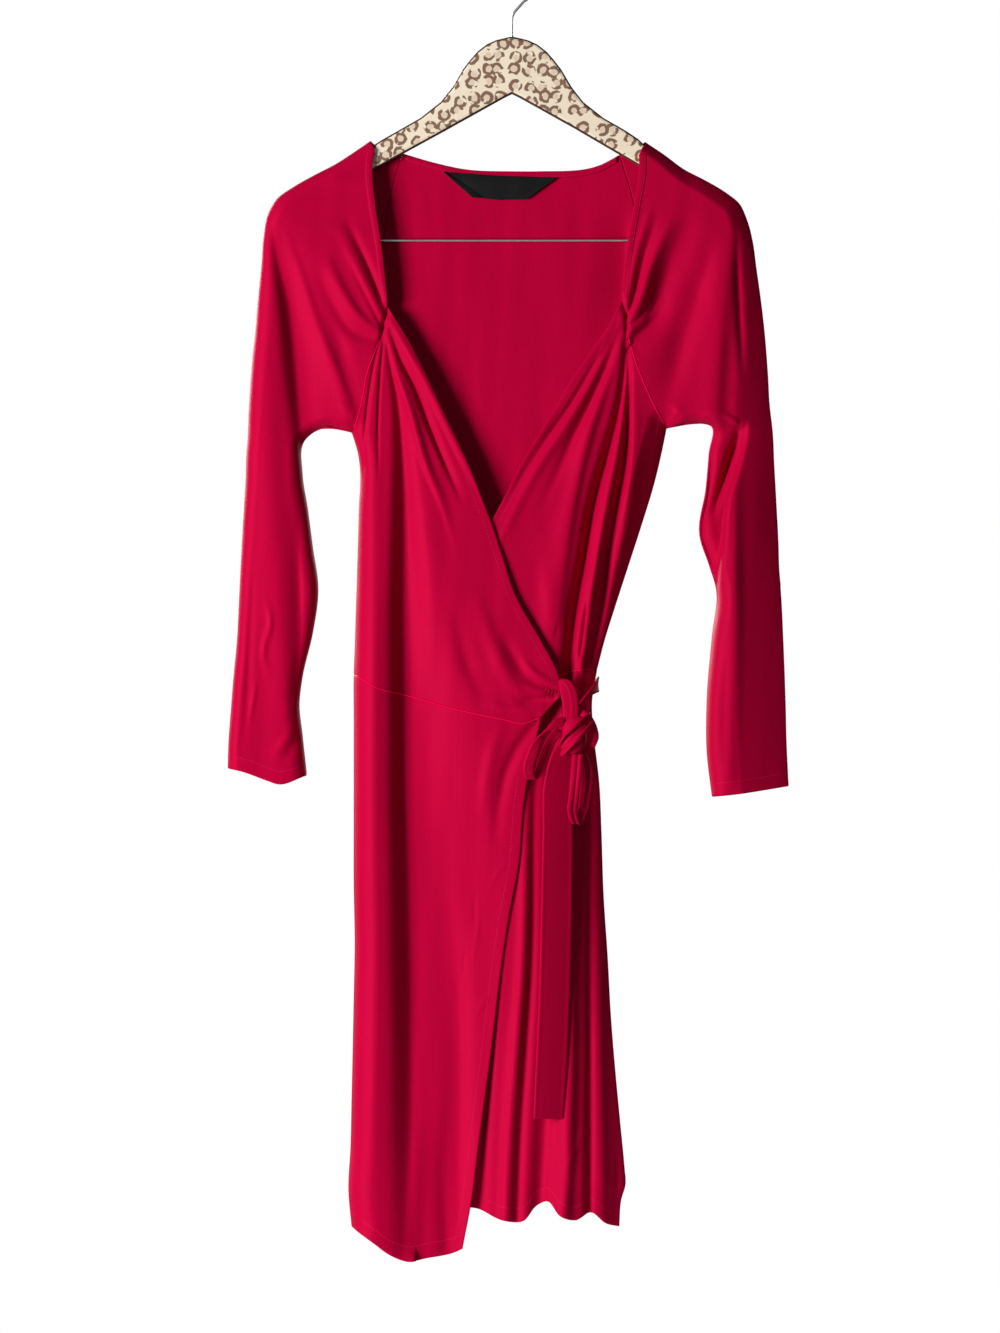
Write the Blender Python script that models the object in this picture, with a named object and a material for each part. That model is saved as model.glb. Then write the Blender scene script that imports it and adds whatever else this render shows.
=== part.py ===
"""Wrap dress of slinky jersey, hung on a flat wooden hanger with a steel hook and trouser bar.

Metres, +Z up, the front of the dress faces -Y. The origin is the inner top of the hook, where it rests
on a rail. Outlines are written in millimetres as (x, z). Right and left are the wearer's.
"""

import bmesh
import bpy
import numpy as np

MM = 0.001

CLOTH = 1.6  # wall of every panel
TIE_CLOTH = 2.2  # the ties are sewn double
LABEL_CLOTH = 0.8
BAND_CLOTH = 1.0
SEAM = 0.35  # half of the space left between panels at a waist seam
RAGLAN = 1.1  # space left beside the rounded raglan seams
LAYER_SPACE = 0.4  # space between a panel and what lies on it

HOOK_WIRE = 1.2  # radius
HOOK_RADIUS = 22.2  # to the middle of the wire
BAR_WIRE = 1.1
BAR_DROP = 267.5
BAR_HALF = 174.0
BOARD = 12.0  # thickness of the wooden hanger
BOARD_EDGE = 3.2  # rounding of its edges
NECK_BAND_WIDTH = 6.0

# Wearer's right sleeve and shoulder: each row runs from the front edge, over the outer edge, to the back edge.
FRONT_R = [
    (-131, -181), (-133, -201), (-130, -235), (-125, -267), (-121, -300), (-118, -331), (-123, -349),
    (-125, -361), (-131, -376), (-138, -396), (-142, -418), (-148, -441), (-152, -450), (-167, -444),
    (-180, -444), (-191, -449), (-199, -459), (-199, -496), (-195, -524), (-190, -562), (-185, -600),
    (-190, -640), (-200, -683), (-203, -710), (-200, -740), (-196, -777),
]
OUTER_R = [
    (-134, -173), (-150, -184), (-167, -195), (-188, -206), (-209, -218), (-224, -229), (-232, -243),
    (-236, -264), (-238, -290), (-241, -320), (-244, -355), (-248, -395), (-250, -436), (-250, -444),
    (-251, -452), (-251, -461), (-252, -472), (-253, -500), (-255, -530), (-257, -566), (-259, -606),
    (-261, -646), (-265, -690), (-267, -716), (-269, -742), (-270, -770),
]
BACK_R = [
    (-126, -180), (-104, -184), (-109, -199), (-117, -228), (-122, -262), (-127, -296), (-131, -326),
    (-134, -346), (-138, -368), (-141, -392), (-145, -417), (-149, -440),
]
# Wearer's left sleeve and shoulder.
FRONT_L = [
    (122, -184), (121, -203), (116, -235), (111, -265), (107, -296), (104, -325), (109, -340),
    (109, -354), (113, -368), (119, -388), (129, -412), (141, -436), (147, -446), (160, -443),
    (175, -441), (190, -444), (188, -470), (185, -505), (179, -548), (188, -576), (195, -600),
    (191, -645), (186, -706), (186, -754), (191, -797),
]
OUTER_L = [
    (126, -174), (144, -186), (163, -200), (184, -211), (204, -223), (216, -233), (224, -250),
    (229, -270), (232, -292), (236, -320), (240, -354), (243, -392), (245, -425), (246, -434),
    (247, -442), (248, -452), (249, -475), (251, -512), (253, -550), (254, -580), (256, -608),
    (258, -650), (260, -705), (261, -745), (263, -787),
]
BACK_L = [
    (117, -180), (103, -185), (107, -199), (114, -222), (120, -255), (125, -290), (130, -322),
    (133, -346), (136, -368), (139, -392), (142, -415), (146, -436),
]
CUFF_R = [(-196, -777), (-223, -785), (-232, -782), (-257, -773), (-270, -770)]
CUFF_L = [(191, -797), (218, -794), (238, -791), (264, -787)]

# Sides of the body, from the underarms down to the hems.
SIDE_R = [
    (-150, -455), (-146, -470), (-144, -485), (-145, -520), (-146, -555), (-147, -590), (-148, -620),
    (-149, -655), (-150, -680), (-150, -720), (-150, -770), (-150, -825), (-150, -880), (-149, -935),
    (-150, -990), (-151, -1040), (-152, -1085), (-153, -1130), (-155, -1172), (-152, -1206),
]
SIDE_L = [
    (145, -450), (143, -466), (136, -496), (123, -539), (111, -576), (98, -616), (88, -648),
    (81, -675), (76, -707), (78, -740), (83, -785), (85, -830), (87, -890), (91, -950), (94, -1005),
    (98, -1055), (103, -1108), (107, -1150), (108, -1166), (104, -1180), (102, -1206),
]
WRAP_EDGE = [
    (-118, -336), (-97, -365), (-84, -390), (-71, -418), (-57, -447), (-48, -466), (-39, -486),
    (-29, -512), (-20, -535), (-9, -568), (2, -602), (29, -651), (44, -681), (47, -700),
]
UNDER_EDGE = [
    (104, -329), (90, -352), (76, -372), (56, -401), (38, -432), (27, -450), (15, -469), (1, -496),
    (-20, -536), (-38, -570), (-58, -606), (-80, -648), (-104, -694),
]
NECKLINE = [(-104, -184), (-77, -192), (-45, -199), (0, -201), (25, -201), (84, -195), (103, -185)]
WAIST_OVER = [(-150, -680), (-131, -692), (-98, -701), (-64, -711), (-9, -723), (12, -727), (28, -721)]
WAIST_UNDER = [(-104, -694), (-60, -697), (0, -692), (40, -683), (60, -677), (81, -675)]
SKIRT_EDGE = [
    (28, -722), (18, -763), (11, -805), (7, -857), (-3, -911), (-9, -950), (-14, -990), (-20, -1040),
    (-26, -1085), (-32, -1130), (-38, -1178), (-47, -1226),
]
HEM_OVER = [(-152, -1206), (-133, -1219), (-115, -1232), (-98, -1238), (-81, -1235), (-53, -1229), (-47, -1226)]
HIDDEN_EDGE = [
    (-104, -695), (-106, -730), (-107, -765), (-108, -805), (-109, -850), (-110, -900), (-110, -950),
    (-110, -1000), (-110, -1050), (-110, -1100), (-109, -1150), (-109, -1172), (-108, -1182), (-108, -1192),
]
HEM_UNDER = [
    (-108, -1192), (-70, -1190), (-34, -1188), (-9, -1199), (10, -1200), (24, -1185), (33, -1181),
    (46, -1195), (60, -1199), (75, -1192), (90, -1203), (102, -1206),
]
HEM_BACK = [(-154, -1184), (-100, -1178), (0, -1174), (60, -1174), (108, -1166)]
LABEL = [(-66, -203), (43, -208), (14, -228), (-38, -228)]

# How far the cloth stands out from the middle plane at each height, and how wide its rounded edge is.
SHOULDER = [(-173, 8.6), (-230, 10.5), (-345, 15), (-452, 18)]
OVERLAP = SHOULDER + [(-536, 25), (-1240, 27)]
UNDERLAP = SHOULDER + [(-500, 17), (-1240, 17)]
FRONT_SLEEVE = SHOULDER + [(-520, 13), (-800, 12)]
BACK_SHOULDER = [(-173, 8.6), (-230, 9.5), (-345, 12), (-452, 14)]
BACK_BODY = BACK_SHOULDER + [(-600, 15), (-1240, 16)]
BACK_SLEEVE = BACK_SHOULDER + [(-520, 11), (-800, 11)]
ROUND_BODY = [(-173, 8), (-230, 12), (-345, 20), (-452, 22), (-560, 26), (-1240, 26)]
ROUND_SLEEVE = [(-173, 8), (-230, 12), (-345, 20), (-452, 22), (-520, 15), (-800, 14)]

# Folds: the line a fold follows, its half width, and its depth (troughs positive, ridges negative).
FOLDS_OVER = [
    ([(-117, -362), (-113, -430), (-109, -520), (-107, -620), (-108, -800), (-102, -1000), (-101, -1190)], 9, 7),
    ([(-122, -372), (-133, -430), (-136, -540), (-133, -700), (-134, -900), (-136, -1100)], 10, -3),
    ([(-108, -352), (-84, -400), (-66, -450), (-48, -512)], 6, -3),
    ([(-102, -352), (-72, -412), (-50, -462)], 5, 3),
    ([(-80, -560), (-84, -700), (-76, -900), (-70, -1150)], 12, -3),
    ([(40, -692), (0, -694), (-40, -684), (-80, -660)], 9, 4),
    ([(-20, -760), (-30, -900), (-60, -1190)], 12, 3),
]
FOLDS_UNDER = [
    ([(108, -358), (103, -420), (94, -500), (80, -590), (66, -672)], 7, 5),
    ([(112, -374), (116, -430), (106, -520), (90, -610), (76, -668)], 6, -3),
    ([(101, -350), (84, -410), (64, -480), (48, -560)], 6, 4),
    ([(96, -352), (72, -400), (44, -460)], 5, -3),
    ([(76, -720), (77, -830), (76, -1000), (76, -1200)], 7, 6),
    ([(64, -720), (60, -850), (53, -1000), (56, -1200)], 8, -4),
    ([(36, -740), (35, -900), (33, -1190)], 9, 6),
    ([(8, -780), (6, -950), (0, -1200)], 12, -3),
]
FOLDS_BACK = [
    ([(-70, -230), (-76, -400), (-80, -700), (-84, -1150)], 12, 4),
    ([(-34, -380), (-30, -700), (-28, -1150)], 12, -4),
    ([(62, -230), (56, -400), (40, -700), (44, -1150)], 12, 4),
    ([(10, -420), (6, -700), (8, -1150)], 12, 3),
]
FOLDS_SLEEVE_R = [
    ([(-124, -344), (-140, -300), (-163, -246)], 7, 3),
    ([(-127, -350), (-160, -312), (-200, -256)], 7, 3),
    ([(-129, -362), (-160, -372), (-190, -420)], 8, 3),
    ([(-215, -450), (-222, -560), (-228, -760)], 9, -2),
]
FOLDS_SLEEVE_L = [
    ([(110, -336), (126, -290), (140, -236)], 7, 3),
    ([(112, -342), (150, -300), (192, -250)], 7, 3),
    ([(114, -352), (160, -372), (196, -410)], 8, 3),
    ([(226, -470), (228, -600), (226, -760)], 9, -2),
    ([(206, -436), (203, -470), (194, -515), (188, -552), (190, -600)], 10, 9),
]

OVERLAP_COLUMNS = [0, .008, .03, .065, .12, .17, .21, .25, .32, .40, .48, .57, .66, .75, .84, .93, 1]
UNDERLAP_COLUMNS = [0, .10, .20, .30, .40, .50, .58, .66, .72, .78, .84, .89, .935, .97, .992, 1]
BACK_COLUMNS = [0, .008, .035, .09, .18, .28, .39, .50, .61, .72, .82, .91, .965, .992, 1]
SLEEVE_COLUMNS = [0, .02, .08, .20, .38, .58, .77, .91, .975, 1]


def remove_all():
    """Empties the scene."""
    for item in list(bpy.data.objects):
        bpy.data.objects.remove(item, do_unlink=True)


def material(name, colour, roughness, metallic=0.0):
    """A plain Principled material."""
    made = bpy.data.materials.get(name) or bpy.data.materials.new(name)
    made.use_nodes = True
    shader = made.node_tree.nodes["Principled BSDF"]
    shader.inputs["Base Color"].default_value = (*colour, 1.0)
    shader.inputs["Roughness"].default_value = roughness
    shader.inputs["Metallic"].default_value = metallic
    return made


def jersey():
    return material("crimson_jersey", (0.42, 0.004, 0.03), 0.6)


def satin():
    return material("black_satin", (0.012, 0.012, 0.014), 0.35)


def wood():
    return material("printed_wood", (0.66, 0.49, 0.31), 0.5)


def steel():
    return material("bright_steel", (0.6, 0.6, 0.62), 0.3, 1.0)


def spaced(points, fractions):
    """Points at the given fractions of the length of a line."""
    line = np.array(points, float)
    steps = np.linalg.norm(np.diff(line, axis=0), axis=1)
    along = np.concatenate([[0.0], np.cumsum(steps)]) / steps.sum()
    return np.stack([np.interp(fractions, along, line[:, axis]) for axis in range(line.shape[1])], axis=1)


def nearest(points, line):
    """Distance of each point from a line, and how far along the line its nearest place is (0 to 1)."""
    line = np.array(line, float)
    start = line[:-1]
    run = line[1:] - start
    length = np.linalg.norm(run, axis=1)
    away = points[:, None, :] - start[None]
    part = np.clip((away * run[None]).sum(2) / (length**2)[None], 0, 1)
    gap = np.linalg.norm(away - part[..., None] * run[None], axis=2)
    best = gap.argmin(1)
    rows = np.arange(len(points))
    before = np.concatenate([[0.0], np.cumsum(length)])[best]
    return gap[rows, best], (before + part[rows, best] * length[best]) / length.sum()


OUTLINES = [OUTER_R, FRONT_R[12:], [FRONT_R[12]] + SIDE_R, OUTER_L, FRONT_L[12:], [FRONT_L[12]] + SIDE_L]


def stand_out(places, table, rounding):
    """How far cloth stands out: its depth at that height, turned in as a quarter circle at the outline."""
    gap = np.min([nearest(places, line)[0] for line in OUTLINES], axis=0)
    heights, depths = np.array(table[::-1], float).T
    deep = np.interp(places[:, 1], heights, depths)
    heights, widths = np.array(rounding[::-1], float).T
    part = np.clip(gap / np.interp(places[:, 1], heights, widths), 0, 1)
    return deep * np.sqrt(1 - (1 - part) ** 2)


def fold_depth(places, folds):
    """The sum of all folds: each a soft hollow or ridge beside its line, fading out at both ends."""
    total = np.zeros(len(places))
    for line, width, deep in folds:
        gap, along = nearest(places, line)
        fade = np.clip(np.minimum(along, 1 - along) / 0.12, 0, 1)
        total += deep * np.exp(-((gap / width) ** 2)) * fade
    return total


def patch(left, right, top, bottom, columns):
    """A sheet stretched between four edges, one row for each point of its side edges."""
    across = np.array(columns, float)
    left = np.array(left, float)
    right = np.array(right, float)
    down = np.concatenate([[0.0], np.cumsum(np.linalg.norm(np.diff(left, axis=0), axis=1))])
    down = (down / down[-1])[:, None, None]
    across_part = across[None, :, None]
    sides = (1 - across_part) * left[:, None] + across_part * right[:, None]
    ends = (1 - down) * spaced(top, across)[None] + down * spaced(bottom, across)[None]
    corners = (1 - down) * ((1 - across_part) * left[0] + across_part * right[0])
    corners = corners + down * ((1 - across_part) * left[-1] + across_part * right[-1])
    return sides + ends - corners


def raise_front(grid, table, folds, rounding=ROUND_BODY, least=0.5):
    """Gives a flat front patch its depth; its side edges stay just in front of the side seam."""
    places = grid.reshape(-1, 2)
    deep = stand_out(places, table, rounding)
    soft = np.clip(deep / 12.0, 0, 1)
    deep = np.maximum(deep - fold_depth(places, folds) * soft, least)
    return np.stack([places[:, 0], -deep, places[:, 1]], axis=1).reshape(*grid.shape[:2], 3)


def raise_back(grid, table, folds, rounding=ROUND_BODY, least=0.5):
    """Gives a flat back patch its depth."""
    places = grid.reshape(-1, 2)
    deep = stand_out(places, table, rounding)
    soft = np.clip(deep / 12.0, 0, 1)
    deep = np.maximum(deep - fold_depth(places, folds) * soft, least)
    return np.stack([places[:, 0], deep, places[:, 1]], axis=1).reshape(*grid.shape[:2], 3)


def grid_faces(rows, columns):
    """Quads of a grid whose points are stored row by row."""
    first = (np.arange(rows - 1)[:, None] * columns + np.arange(columns - 1)[None]).reshape(-1)
    return np.stack([first, first + 1, first + columns + 1, first + columns], axis=1)


def finish(name, body, slot):
    """Turns a bmesh into a named object."""
    mesh = bpy.data.meshes.new(name)
    body.to_mesh(mesh)
    body.free()
    made = bpy.data.objects.new(name, mesh)
    bpy.context.scene.collection.objects.link(made)
    mesh.materials.append(slot)
    return made


def cloth_wall(name, points, faces, thick, slot):
    """A closed wall of cloth round a middle surface given in millimetres."""
    body = bmesh.new()
    corners = [body.verts.new(point) for point in points * MM]
    for face in faces:
        body.faces.new([corners[index] for index in face])
    bmesh.ops.remove_doubles(body, verts=body.verts, dist=0.00005)
    bmesh.ops.recalc_face_normals(body, faces=body.faces)
    made = finish(name, body, slot)
    wall = made.modifiers.new("wall", "SOLIDIFY")
    wall.thickness = thick * MM
    wall.offset = 0.0
    return made


def panel(name, grid, thick=CLOTH, slot=None):
    """A cloth panel from one grid of points."""
    rows, columns = grid.shape[:2]
    return cloth_wall(name, grid.reshape(-1, 3), grid_faces(rows, columns), thick, slot or jersey())


def moved(points, across, down):
    """A line of points moved sideways and vertically."""
    return [(x + across, z + down) for x, z in points]


def bodice_front_right():
    """The overlap: gathered at the shoulder seam, its free edge crossing to the left hip."""
    left = moved(FRONT_R[7:12], RAGLAN, -SEAM) + SIDE_R[:8] + [(-150, -679)]
    top = moved([FRONT_R[7], FRONT_R[6], WRAP_EDGE[0]], RAGLAN, -SEAM)
    right = [top[-1]] + WRAP_EDGE[1:]
    bottom = moved(WAIST_OVER, 0, SEAM) + [(47, -700)]
    bottom[0] = left[-1]
    panel("bodice_front_right", raise_front(patch(left, right, top, bottom, OVERLAP_COLUMNS), OVERLAP, FOLDS_OVER))


def bodice_front_left():
    """The underlap: its edge carries on behind the overlap to the waist."""
    right = moved(FRONT_L[7:12], -RAGLAN, -SEAM) + SIDE_L[:8]
    left = moved(UNDER_EDGE[:1], 0, -2 * SEAM) + UNDER_EDGE[1:]
    top = [left[0]] + moved([FRONT_L[6]], -RAGLAN, -SEAM) + [right[0]]
    bottom = moved(WAIST_UNDER, 0, SEAM)
    left[-1] = bottom[0]
    right[-1] = bottom[-1]
    panel("bodice_front_left", raise_front(patch(left, right, top, bottom, UNDERLAP_COLUMNS), UNDERLAP, FOLDS_UNDER))


def bodice_back_grid():
    """Middle surface of the back bodice."""
    left = moved(BACK_R[1:12], RAGLAN, 0) + SIDE_R[0:9:2] + [(-150, -679)]
    right = moved(BACK_L[1:12], -RAGLAN, 0) + SIDE_L[0:7:2] + [(88, -648), (81, -674)]
    left[-2] = (-149, -655)
    top = [left[0]] + NECKLINE[1:-1] + [right[0]]
    bottom = [left[-1], (-60, -690), (10, -688), right[-1]]
    return raise_back(patch(left, right, top, bottom, BACK_COLUMNS), BACK_BODY, FOLDS_BACK)


def skirt_front_right():
    """The overlap skirt, with its long free edge."""
    left = moved([(-150, -680)], 0, -SEAM) + SIDE_R[9:]
    top = moved(WAIST_OVER, 0, -SEAM)
    right = [top[-1]] + SKIRT_EDGE[1:]
    panel("skirt_front_right", raise_front(patch(left, right, top, HEM_OVER, OVERLAP_COLUMNS), OVERLAP, FOLDS_OVER))


def skirt_front_left():
    """The underlap skirt, carried on behind the overlap."""
    top = moved(WAIST_UNDER, 0, -SEAM)
    left = [top[0]] + HIDDEN_EDGE[1:]
    right = [top[-1]] + SIDE_L[8:]
    panel("skirt_front_left", raise_front(patch(left, right, top, HEM_UNDER, UNDERLAP_COLUMNS), UNDERLAP, FOLDS_UNDER))


def skirt_back():
    """The back skirt, a little shorter than the front."""
    left = [(-150, -680.4)] + SIDE_R[9:18] + [(-155, -1160), (-154, -1184)]
    right = [(81, -675.4)] + SIDE_L[8:18] + [(108, -1166)]
    top = [left[0], (-60, -691), (10, -689), right[0]]
    panel("skirt_back", raise_back(patch(left, right, top, HEM_BACK, BACK_COLUMNS), BACK_BODY, FOLDS_BACK))


def sleeve(name, front, outer, back, cuff, folds):
    """A raglan sleeve with its shoulder: open at the raglan seam, a closed tube below the underarm."""
    seam = len(back)
    back_edge = back + front[seam:]
    cuff_back = [(x, z + 2) for x, z in cuff]
    cuff_back[0] = cuff[0]
    cuff_back[-1] = cuff[-1]
    front_grid = patch(front, outer, [front[0], outer[0]], cuff, SLEEVE_COLUMNS)
    back_grid = patch(back_edge, outer, [back[0], outer[0]], cuff_back, SLEEVE_COLUMNS)
    front_points = raise_front(front_grid, FRONT_SLEEVE, folds, ROUND_SLEEVE, 0.0)
    back_points = raise_back(back_grid, BACK_SLEEVE, [], ROUND_SLEEVE, 0.0)
    front_points[:, -1, 1] = 0.0
    back_points[:, -1, 1] = 0.0
    front_points[seam:, 0, 1] = 0.0
    back_points[seam:, 0, 1] = 0.0
    rows, columns = front_points.shape[:2]
    faces = grid_faces(rows, columns)
    faces = np.concatenate([faces, faces[:, ::-1] + rows * columns])
    points = np.concatenate([front_points.reshape(-1, 3), back_points.reshape(-1, 3)])
    return cloth_wall(name, points, faces, CLOTH, jersey())


def sleeves():
    sleeve("sleeve_right", FRONT_R, OUTER_R, BACK_R, CUFF_R, FOLDS_SLEEVE_R)
    sleeve("sleeve_left", FRONT_L, OUTER_L, BACK_L, CUFF_L, FOLDS_SLEEVE_L)


def on_back(places, out):
    """Points on the inside face of the back bodice, moved out towards the front."""
    deep = stand_out(places, BACK_BODY, ROUND_BODY) - fold_depth(places, FOLDS_BACK)
    return np.stack([places[:, 0], deep - out, places[:, 1]], axis=1)


def back_neck_band():
    """The turned band along the inside of the back neckline."""
    line = spaced(NECKLINE, np.linspace(0.01, 0.99, 21))
    out = CLOTH / 2 + LAYER_SPACE + BAND_CLOTH / 2
    rows = [on_back(line - [0, 0.5 + drop], out) for drop in (0, NECK_BAND_WIDTH / 2, NECK_BAND_WIDTH)]
    panel("back_neck_band", np.stack(rows), BAND_CLOTH)


def neck_label():
    """A plain label with mitred lower corners, inside the back neck."""
    upper = spaced(LABEL[:2], np.linspace(0, 1, 9))
    lower = spaced([LABEL[3], LABEL[2]], np.linspace(0, 1, 9))
    out = CLOTH / 2 + BAND_CLOTH + 2 * LAYER_SPACE + LABEL_CLOTH / 2 + 0.3
    rows = [on_back(upper * (1 - part) + lower * part, out) for part in (0, 0.35, 0.7, 1)]
    panel("neck_label", np.stack(rows), LABEL_CLOTH, satin())


def ribbon(name, middle, half, camber, lengths, across=5):
    """A tie folded from cloth: a line of middles with a half-width vector at each, arched across."""
    parts = np.linspace(0, 1, lengths)
    line = spaced(middle, parts)
    widths = spaced_like(half, middle, parts)
    run = np.gradient(line, axis=0)
    normal = np.cross(run, widths)
    normal /= np.linalg.norm(normal, axis=1)[:, None]
    side = np.linspace(-1, 1, across)[None, :, None]
    grid = line[:, None] + side * widths[:, None] + camber * (1 - side**2) * normal[:, None]
    return panel(name, grid, TIE_CLOTH)


def spaced_like(values, line, parts):
    """Values given at the points of a line, read at fractions of its length."""
    line = np.array(line, float)
    values = np.array(values, float)
    steps = np.linalg.norm(np.diff(line, axis=0), axis=1)
    along = np.concatenate([[0.0], np.cumsum(steps)]) / steps.sum()
    return np.stack([np.interp(parts, along, values[:, axis]) for axis in range(3)], axis=1)


def tie_strap():
    """From the waist corner of the overlap, turning down into the knot."""
    middle = [(50, -27, -688), (56, -29, -694), (59, -30, -704), (57, -30, -714), (56, -30, -724)]
    half = [(3, 0, 9), (8, 0, 5), (8, 0, 1), (7, 0, 0), (6, 0, 0)]
    ribbon("tie_strap", middle, half, 1.5, 7)


def tie_side_band():
    """From the side seam at the back, round the side and across to the knot."""
    middle = [
        (66, 16, -697), (76, 12, -696), (82, 5, -695), (84, -3, -695), (82, -12, -695), (76, -20, -697),
        (69, -26, -702),
    ]
    half = [(0, 0, 9), (0, 0, 10), (0, 0, 10), (0, 0, 10), (1, 0, 9), (2, 0, 8), (3, 0, 7)]
    ribbon("tie_side_band", middle, half, 0.0, 13, 3)


def bow_loop_upper():
    """The bow loop that falls to the right of the wearer."""
    middle = [
        (47, -35, -724), (35, -38, -728), (22, -40, -743), (14, -40, -762), (13, -38, -776), (18, -34, -778),
        (24, -32, -768), (28, -31, -752), (36, -31, -738), (44, -30, -731),
    ]
    half = [
        (2, 3, 5), (3, 3, 6), (5, 3, 4), (6, 3, 2), (6, 3, 1), (6, 3, 1), (6, 3, 2), (5, 2, 3), (4, 1, 4), (3, 0, 4),
    ]
    ribbon("bow_loop_upper", middle, half, 1.0, 22, 3)


def bow_loop_lower():
    """The bow loop that hangs straight down below the knot, folded along its length."""
    middle = [
        (64, -43, -758), (65, -46, -775), (66, -47, -795), (64, -46, -812), (60, -42, -821), (59, -38, -812),
        (61, -36.5, -790), (63, -36.5, -768), (64, -37, -759),
    ]
    half = [
        (6, 0, 0), (9, 0, 0), (10, 0, -1), (9, 0, -2), (8, 0, -2), (8, 0, -2), (8, 0, 0), (7, 0, 0), (6, 0, 0),
    ]
    ribbon("bow_loop_lower", middle, half, 1.5, 20, 5)


def tie_tail():
    """The long free end, hanging in front of the underlap skirt to its square end."""
    middle = [
        (54, -29.5, -747), (50, -29, -757), (46, -28.5, -778), (44, -27, -830), (43, -27, -900), (40, -27, -980), (37, -27, -1060),
        (35, -27, -1103),
    ]
    half = [(8, 0, 0), (11, 0, 0)] + [(14, 0, 0)] + 5 * [(15, 0, 0)]
    ribbon("tie_tail", middle, half, 2.0, 14, 5)


def tie_knot():
    """The knot: a full lump of cloth with a diagonal wrap across its front."""
    around = np.linspace(0, 2 * np.pi, 17)[None, :-1]
    up = np.linspace(-0.5 * np.pi, 0.5 * np.pi, 9)[:, None]
    ring = np.cos(up) ** 0.8
    across = ring * np.cos(around)
    deep = ring * np.sin(around)
    high = np.sign(np.sin(up)) * np.abs(np.sin(up)) ** 0.9 + 0 * around
    swell = 1 + 0.10 * np.cos(3.2 * (across - high))
    points = np.stack([60 + 13 * across + 5 * high, -42 + 9.5 * deep * swell, -738 + 19 * high - 2 * across], axis=2)
    body = bmesh.new()
    grid = [[body.verts.new(tuple(point * MM)) for point in row] for row in points]
    count = len(grid[0])
    for lower, upper in zip(grid[:-1], grid[1:]):
        for index in range(count):
            after = (index + 1) % count
            body.faces.new([lower[index], lower[after], upper[after], upper[index]])
    bmesh.ops.remove_doubles(body, verts=body.verts, dist=0.00005)
    bmesh.ops.recalc_face_normals(body, faces=body.faces)
    made = finish("tie_knot", body, jersey())
    made.data.polygons.foreach_set("use_smooth", [True] * len(made.data.polygons))


def hanger_body():
    """A flat board: a raised middle for the hook and two sloping arms with rounded ends."""
    middle = [(15, -77), (24, -81), (33, -88), (40, -96), (47, -105), (57, -122), (68, -136), (87, -151), (108, -163)]
    right_arm = [
        (-124, -172), (-134, -178.5), (-150, -189), (-167, -199.5), (-188, -210.5), (-203, -219), (-209, -225),
        (-211, -232), (-206, -238), (-197, -239), (-180, -229), (-160, -217), (-133, -201),
    ]
    left_arm = [
        (120, -171), (131, -181.5), (144, -192), (163, -206), (184, -217), (199, -226), (205, -232),
        (207, -239), (203, -244), (194, -245), (178, -235), (158, -222), (130, -202),
    ]
    underside = [(60, -161), (8, -132), (0, -128), (-8, -132), (-60, -161)]
    outline = [(-x, z) for x, z in middle[::-1]] + [(0, -73.4)] + middle
    outline = right_arm[::-1] + outline + left_arm + underside
    body = bmesh.new()
    face = body.faces.new([body.verts.new((x * MM, -BOARD / 2 * MM, z * MM)) for x, z in outline])
    moved_part = bmesh.ops.extrude_face_region(body, geom=[face])["geom"]
    corners = [item for item in moved_part if isinstance(item, bmesh.types.BMVert)]
    bmesh.ops.translate(body, verts=corners, vec=(0, BOARD * MM, 0))
    bmesh.ops.recalc_face_normals(body, faces=body.faces)
    made = finish("hanger_body", body, wood())
    edge = made.modifiers.new("rounded edges", "BEVEL")
    edge.width = BOARD_EDGE * MM
    edge.segments = 3
    edge.limit_method = "ANGLE"
    edge.angle_limit = 1.0


def wire(name, path, radius):
    """A round wire along a line of points in millimetres."""
    curve = bpy.data.curves.new(name, "CURVE")
    curve.dimensions = "3D"
    curve.bevel_depth = radius * MM
    curve.bevel_resolution = 3
    curve.use_fill_caps = True
    line = curve.splines.new("POLY")
    line.points.add(len(path) - 1)
    for point, place in zip(line.points, path):
        point.co = (place[0] * MM, place[1] * MM, place[2] * MM, 1.0)
    curve.materials.append(steel())
    made = bpy.data.objects.new(name, curve)
    bpy.context.scene.collection.objects.link(made)


def hanger_hook():
    """Shank with a small set-off, then the round hook, open at the wearer's right."""
    path = [(0, 0, -73.0), (0, 0, -60), (0.4, 0, -55), (2.2, 0, -50.5), (6, 0, -46)]
    for angle in np.radians(np.arange(-60, 207, 11)):
        path.append((HOOK_RADIUS * np.cos(angle), 0, HOOK_WIRE - HOOK_RADIUS + HOOK_RADIUS * np.sin(angle)))
    wire("hanger_hook", path, HOOK_WIRE)


def trouser_bar():
    """A straight bar whose ends turn up to the undersides of the arms."""
    path = []
    for side, top in ((-1, -227.3), (1, -234.3)):
        end = [(side * BAR_HALF, 0, top), (side * BAR_HALF, 0, -261)]
        end += [(side * (BAR_HALF - 2), 0, -265.5), (side * (BAR_HALF - 6.5), 0, -BAR_DROP)]
        path += end if side < 0 else end[::-1]
    wire("trouser_bar", path, BAR_WIRE)


def build():
    remove_all()
    hanger_body()
    hanger_hook()
    trouser_bar()
    bodice_front_right()
    bodice_front_left()
    panel("bodice_back", bodice_back_grid())
    skirt_front_right()
    skirt_front_left()
    skirt_back()
    sleeves()
    back_neck_band()
    neck_label()
    tie_strap()
    tie_side_band()
    tie_knot()
    bow_loop_upper()
    bow_loop_lower()
    tie_tail()


build()
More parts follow.
